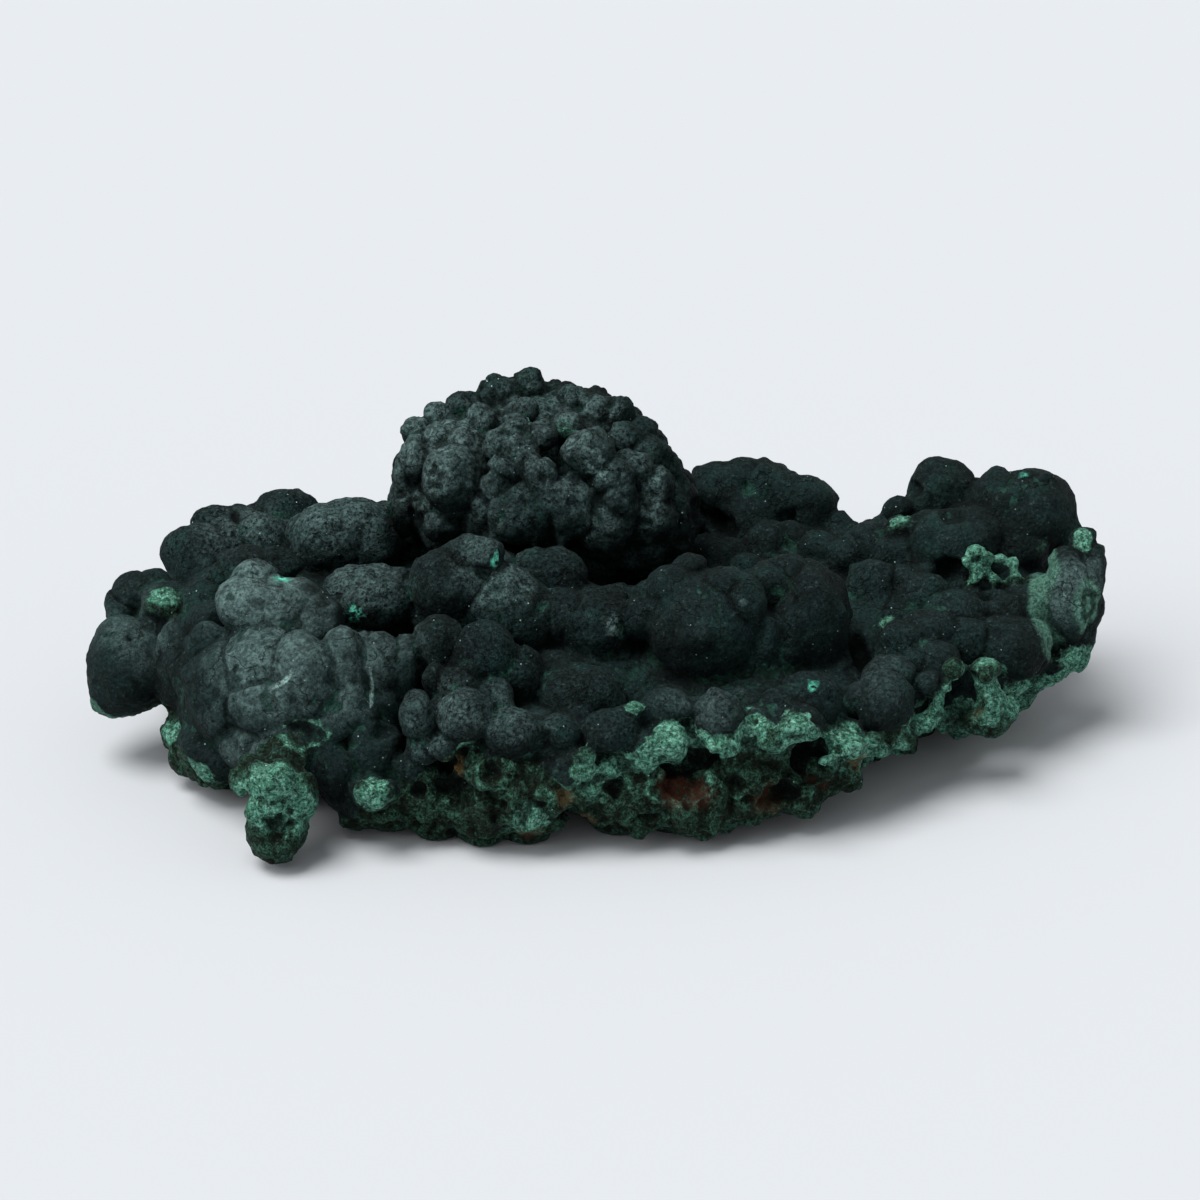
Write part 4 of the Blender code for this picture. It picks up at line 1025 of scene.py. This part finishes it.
# Colours as they look on a screen, from 0 to 255.
stoneColours = {
    "lobeDark": (9, 18, 18),
    "lobe": (16, 32, 31),
    "lobeGreen": (17, 41, 36),
    # grey for the dust, also laid on as painted light
    "dustAndLightGrey": (83, 105, 103),
    "creaseGreen": (34, 66, 56),
    "crustDeep": (12, 16, 10),
    "crustDark": (22, 36, 27),
    "crust": (40, 71, 58),
    "crustLight": (66, 115, 97),
    "crustPale": (100, 148, 130),
    "turquoise": (96, 200, 172),
    "speck": (148, 182, 174),
    # pale grey for painted glints
    "paintedGlint": (100, 126, 122),
    "rust": (64, 32, 22),
    "ochre": (112, 92, 56),
    # near black, laid on as painted shade in creases, seams, pits and hollows
    "gap": (4, 8, 7),
}


def linearColour(name):
    shares = [value / 255 for value in stoneColours[name]]
    return (*(c / 12.92 if c <= 0.04 else ((c + 0.055) / 1.055) ** 2.4 for c in shares), 1.0)


# The lobes' skin: near black in soft clouds, greener in places, with grey dust and painted light on top and
# on the lit side, and painted shade in the creases, which are green here and there, and in the seams between
# lobes.
def lobeColour(tree, crease, mottle, grain):
    dustAndLight = tree.attribute("dustAndLight")
    tree.colour = tree.blend(tree.span(tree.noise(14), 0.36, 0.64), "lobeDark", "lobe")
    tree.over("lobeGreen", (tree.noise(7, 5.0, 0.65), 0.50, 0.66), 0.5)
    # grey dust and painted light on the lit side and the convex tops
    tree.over("dustAndLightGrey", dustAndLight, (mottle, 0.36, 0.64, 0.4, 1.0), (crease, 0.06, -0.10, 0.4, 1.0))
    # painted shade in the creases
    tree.over("gap", (crease, 0.01, 0.12), (mottle, 0.40, 0.60, 0.8, 0.3), 0.38)
    tree.over("creaseGreen", (crease, 0.01, 0.10), (tree.noise(9), 0.52, 0.64), 0.7)
    # painted shade in the seams between lobes, less where dust and painted light lie
    tree.over("gap", (tree.attribute("seam"), 0.2, 0.8), (mottle, 0.35, 0.55, 0.3, 0.8),
              (dustAndLight, 0.1, 0.5, 1.0, 0.25))
    tree.over("dustAndLightGrey", (grain, 0.52, 0.68), (mottle, 0.44, 0.60), 0.22)
    return tree.colour


# The broken crust: swirls of dark mossy green, or of light green where it is fresh, with painted shade in
# its caves and a painted highlight on its ridges.
def crustColour(tree, crease, mottle, grain):
    swirl = tree.noise(2.8, 7.0, 0.74, 0.35)
    fresh = tree.math("ADD", tree.attribute("fresh"), tree.times(tree.math("SUBTRACT", mottle, 0.5), 1.3))
    dark = ("crustDeep", "crustDark", "crustDeep", "crustDark", "crust", "crustDark", "crustDeep")
    light = ("crustDark", "crust", "crustLight", "crust", "crustLight", "crustPale", "crust", "crustLight")
    tree.colour = tree.blend(tree.span(fresh, 0.25, 0.85), tree.ramp(swirl, 0.30, 0.06, dark),
                             tree.ramp(swirl, 0.30, 0.055, light))
    # painted highlight on the crust's ridges
    tree.over("crustLight", (crease, -0.03, -0.14), (grain, 0.44, 0.62), (fresh, 0.0, 0.6, 0.10, 0.5))
    tree.over(tree.blend(tree.span(fresh, 0.2, 0.8), "crustDeep", "crustPale"),
              (tree.noise(0.7, 5.0, 0.75), 0.50, 0.62), 0.6)
    # painted shade in the crust's caves
    tree.over("crustDeep", (crease, 0.02, 0.16), 0.65)
    return tree.colour


stoneFinish = {
    "roughness": (0.62, 0.88),
    "specular": 0.06,
    "sheen": 0.01,
    "sheenRoughness": 0.5,
    "bump": 0.7,
    "bumpDepth": 0.45,          # mm
}


def stoneMaterial():
    material = bpy.data.materials.new("malachiteSkin")
    tree = ShaderTree(material)
    tree.place = tree.add("TexCoord").outputs["Object"]
    names = ("crust", "crease", "rings", "pits", "rust", "ochre")
    crustLevel, crease, rings, pits, rust, ochre = (tree.attribute(name) for name in names)
    mottle = tree.noise(1.5, 6.0, 0.65)
    grain = tree.noise(0.6, 4.0, 0.7)
    patchy = tree.noise(6.0)

    lobe = lobeColour(tree, crease, mottle, grain)
    crust = crustColour(tree, crease, mottle, grain)
    fray = tree.math("ADD", tree.math("SUBTRACT", mottle, 0.5), tree.math("SUBTRACT", patchy, 0.5))
    crustMask = tree.span(tree.math("ADD", crustLevel, tree.times(fray, 0.9)), 0.38, 0.62)
    tree.colour = tree.blend(crustMask, lobe, crust)

    # soft concentric bands on the rosettes
    turns = tree.total((rings, 10.0), (patchy, 7.0), (mottle, 5.0))
    bands = tree.blend(tree.span(tree.math("SINE", turns), -1.0, 1.0), "crust", "crustPale")
    tree.over(bands, (tree.math("ADD", rings, tree.times(mottle, 0.6)), 1.45, 0.95), 0.55)

    # fine knobs where the lobes are bumpy, with painted shade between them
    knobs = tree.spots(2.1, "SMOOTH_F1")
    onLobes = tree.span(crustLevel, 0.5, 0.2)
    bumpy = tree.times((tree.attribute("bumpy"), 0.1, 0.8), onLobes)
    tree.over("gap", (knobs, 0.36, 0.62), bumpy, 0.38)

    # fine wrinkles here and there over the lobes, darkened with painted shade
    edge = tree.spots(8.0, "DISTANCE_TO_EDGE", tree.bent(4.0, 9.0))
    wrinkles = tree.times((edge, 0.035, 0.006), (tree.noise(5.0, 2.0), 0.46, 0.56), onLobes)
    tree.over("gap", wrinkles, 0.6)

    # pale rims and lines, painted glints, flecks, specks, and pinholes darkened with painted shade
    tree.over(tree.blend(grain, "crust", "crustPale"),
              (tree.math("ADD", tree.attribute("paleRims"), mottle), 1.5, 1.0), 0.7)
    tree.over("paintedGlint", tree.attribute("paintedGlints"), (tree.noise(1.6, 4.0, 0.7), 0.42, 0.60))
    tree.over("speck", (tree.attribute("paleLines"), 0.50, 0.18), (mottle, 0.34, 0.52), 0.6)
    tree.over("turquoise", tree.attribute("flecks"), (tree.noise(1.7, 3.0, 0.6), 0.42, 0.54))
    tree.over("speck", (tree.spots(1.9), 0.085, 0.045), (patchy, 0.46, 0.58), 0.75)
    clumps = tree.times(pits, (tree.noise(7.0, 2.0), 0.46, 0.60))
    pinholes = tree.times((tree.spots(1.3), 0.27, 0.15), clumps)
    # painted shade in the pinholes
    tree.over("gap", pinholes, 0.85)

    # a fine grain of lighter and darker specks all over, and tiny pits in places darkened with painted shade
    coarse = tree.math("MAXIMUM", tree.span(pits, 0.40, 0.85), crustLevel)
    speckle = tree.span(tree.noise(0.65, 5.0, 0.8), 0.36, 0.64, tree.span(coarse, 0, 1, 0.55, 0.2),
                        tree.span(coarse, 0, 1, 1.55, 1.95))
    tree.colour = tree.blend(1.0, tree.colour, speckle, "MULTIPLY")
    pocks = tree.times((tree.spots(0.9), 0.26, 0.12), (mottle, 0.48, 0.60))
    tree.over("gap", pocks, 0.6)

    # ore, and painted shade in the hollows, weaker where there is ore
    tree.over("ochre", ochre, (mottle, 0.35, 0.5))
    tree.over("rust", rust, (grain, 0.36, 0.5))
    rusty = tree.math("MAXIMUM", rust, ochre)
    tree.over("gap", (tree.attribute("hollow"), 0.35, 2.0, 0.0, 0.72), (rusty, 0.2, 0.7, 1.0, 0.25))

    # the finish: matte all over, a little smoother in places, with a fine pebbled grain
    rough = tree.span(patchy, 0.3, 0.7, *stoneFinish["roughness"])
    pebbles = tree.spots(0.75, "SMOOTH_F1")
    holes = tree.math("MAXIMUM", pinholes, pocks)
    relief = tree.total((pebbles, -0.5), (grain, 0.7), (tree.noise(0.25, 3.0, 0.6), 0.25), (holes, -0.8),
                        (knobs, bumpy, -2.2), (wrinkles, -0.6), (mottle, 2.0))
    bump = tree.add("Bump", Strength=stoneFinish["bump"], Distance=stoneFinish["bumpDepth"] * mm,
                    Height=relief)
    shader = tree.add("BsdfPrincipled", Base_Color=tree.colour, Roughness=rough,
                      Normal=bump.outputs["Normal"], Specular_IOR_Level=stoneFinish["specular"],
                      Sheen_Weight=stoneFinish["sheen"], Sheen_Roughness=stoneFinish["sheenRoughness"])
    tree.add("OutputMaterial", Surface=shader.outputs[0])
    return material


studio = {
    "floorSide": 4.0,           # metres, from the middle to each side
    "floorDrop": 0.0002,        # metres below the ground
    "floorColour": (0.545, 0.565, 0.585, 1.0),
    "lens": 100.0,
    "sensor": 36.0,
    "clip": (0.01, 50.0),       # metres
    "elevation": 25.0,          # degrees, looking down
    "aim": (0.0, 0.0, 27.5),    # mm, the point at the middle of the view
    "distance": 584.8,          # mm from there to the camera
    "skyColour": (0.96, 0.98, 1.0, 1.0),
    "skyStrength": 0.46,
    # name, direction the light comes from, its strength, and its width as degrees of the sky
    "lights": [
        ("top", (-0.35, -0.10, 1.0), 2.93, 35.0),
        ("left", (-0.9, -0.45, 0.75), 0.9, 40.0),
    ],
}


def addFloor():
    side, drop = studio["floorSide"], studio["floorDrop"]
    corners = np.array([(side * x, side * y, -drop) for x, y in ((-1, -1), (1, -1), (1, 1), (-1, 1))])
    floor = addToScene("floor", meshFromArrays("floor", corners, np.array([[0, 1, 2, 3]])))
    material = bpy.data.materials.new("paleFloor")
    tree = ShaderTree(material)
    shader = tree.add("BsdfPrincipled", Base_Color=studio["floorColour"], Roughness=1.0,
                      Specular_IOR_Level=0.0)
    tree.add("OutputMaterial", Surface=shader.outputs[0])
    floor.data.materials.append(material)


# Turns a light or a camera so that its back is in this direction.
def turnBack(thing, direction):
    thing.rotation_mode = "QUATERNION"
    thing.rotation_quaternion = Vector(direction).to_track_quat("Z", "Y")


def addLights():
    world = bpy.data.worlds.new("studio")
    bpy.context.scene.world = world
    world.use_nodes = True
    background = world.node_tree.nodes["Background"]
    background.inputs["Color"].default_value = studio["skyColour"]
    background.inputs["Strength"].default_value = studio["skyStrength"]
    for name, direction, strength, width in studio["lights"]:
        lamp = bpy.data.lights.new(name, "SUN")
        lamp.energy = strength
        lamp.angle = math.radians(width)
        turnBack(addToScene(name, lamp), direction)


def addCamera():
    slope = math.radians(studio["elevation"])
    back = Vector((0, -math.cos(slope), math.sin(slope)))
    lens = bpy.data.cameras.new("camera")
    lens.lens = studio["lens"]
    lens.sensor_width = studio["sensor"]
    lens.clip_start, lens.clip_end = studio["clip"]
    camera = addToScene("camera", lens)
    camera.location = Vector(fromTable(studio["aim"])) + back * studio["distance"] * mm
    turnBack(camera, back)
    bpy.context.scene.camera = camera


stone = buildStone()
stone.data.materials.append(stoneMaterial())
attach(stone, "root")
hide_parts("malachite")
print("stone finished:", len(stone.data.polygons), "faces")

addFloor()
addLights()
addCamera()
bpy.context.scene.view_settings.view_transform = "Standard"
bpy.context.scene.view_settings.look = "None"
print("studio set")
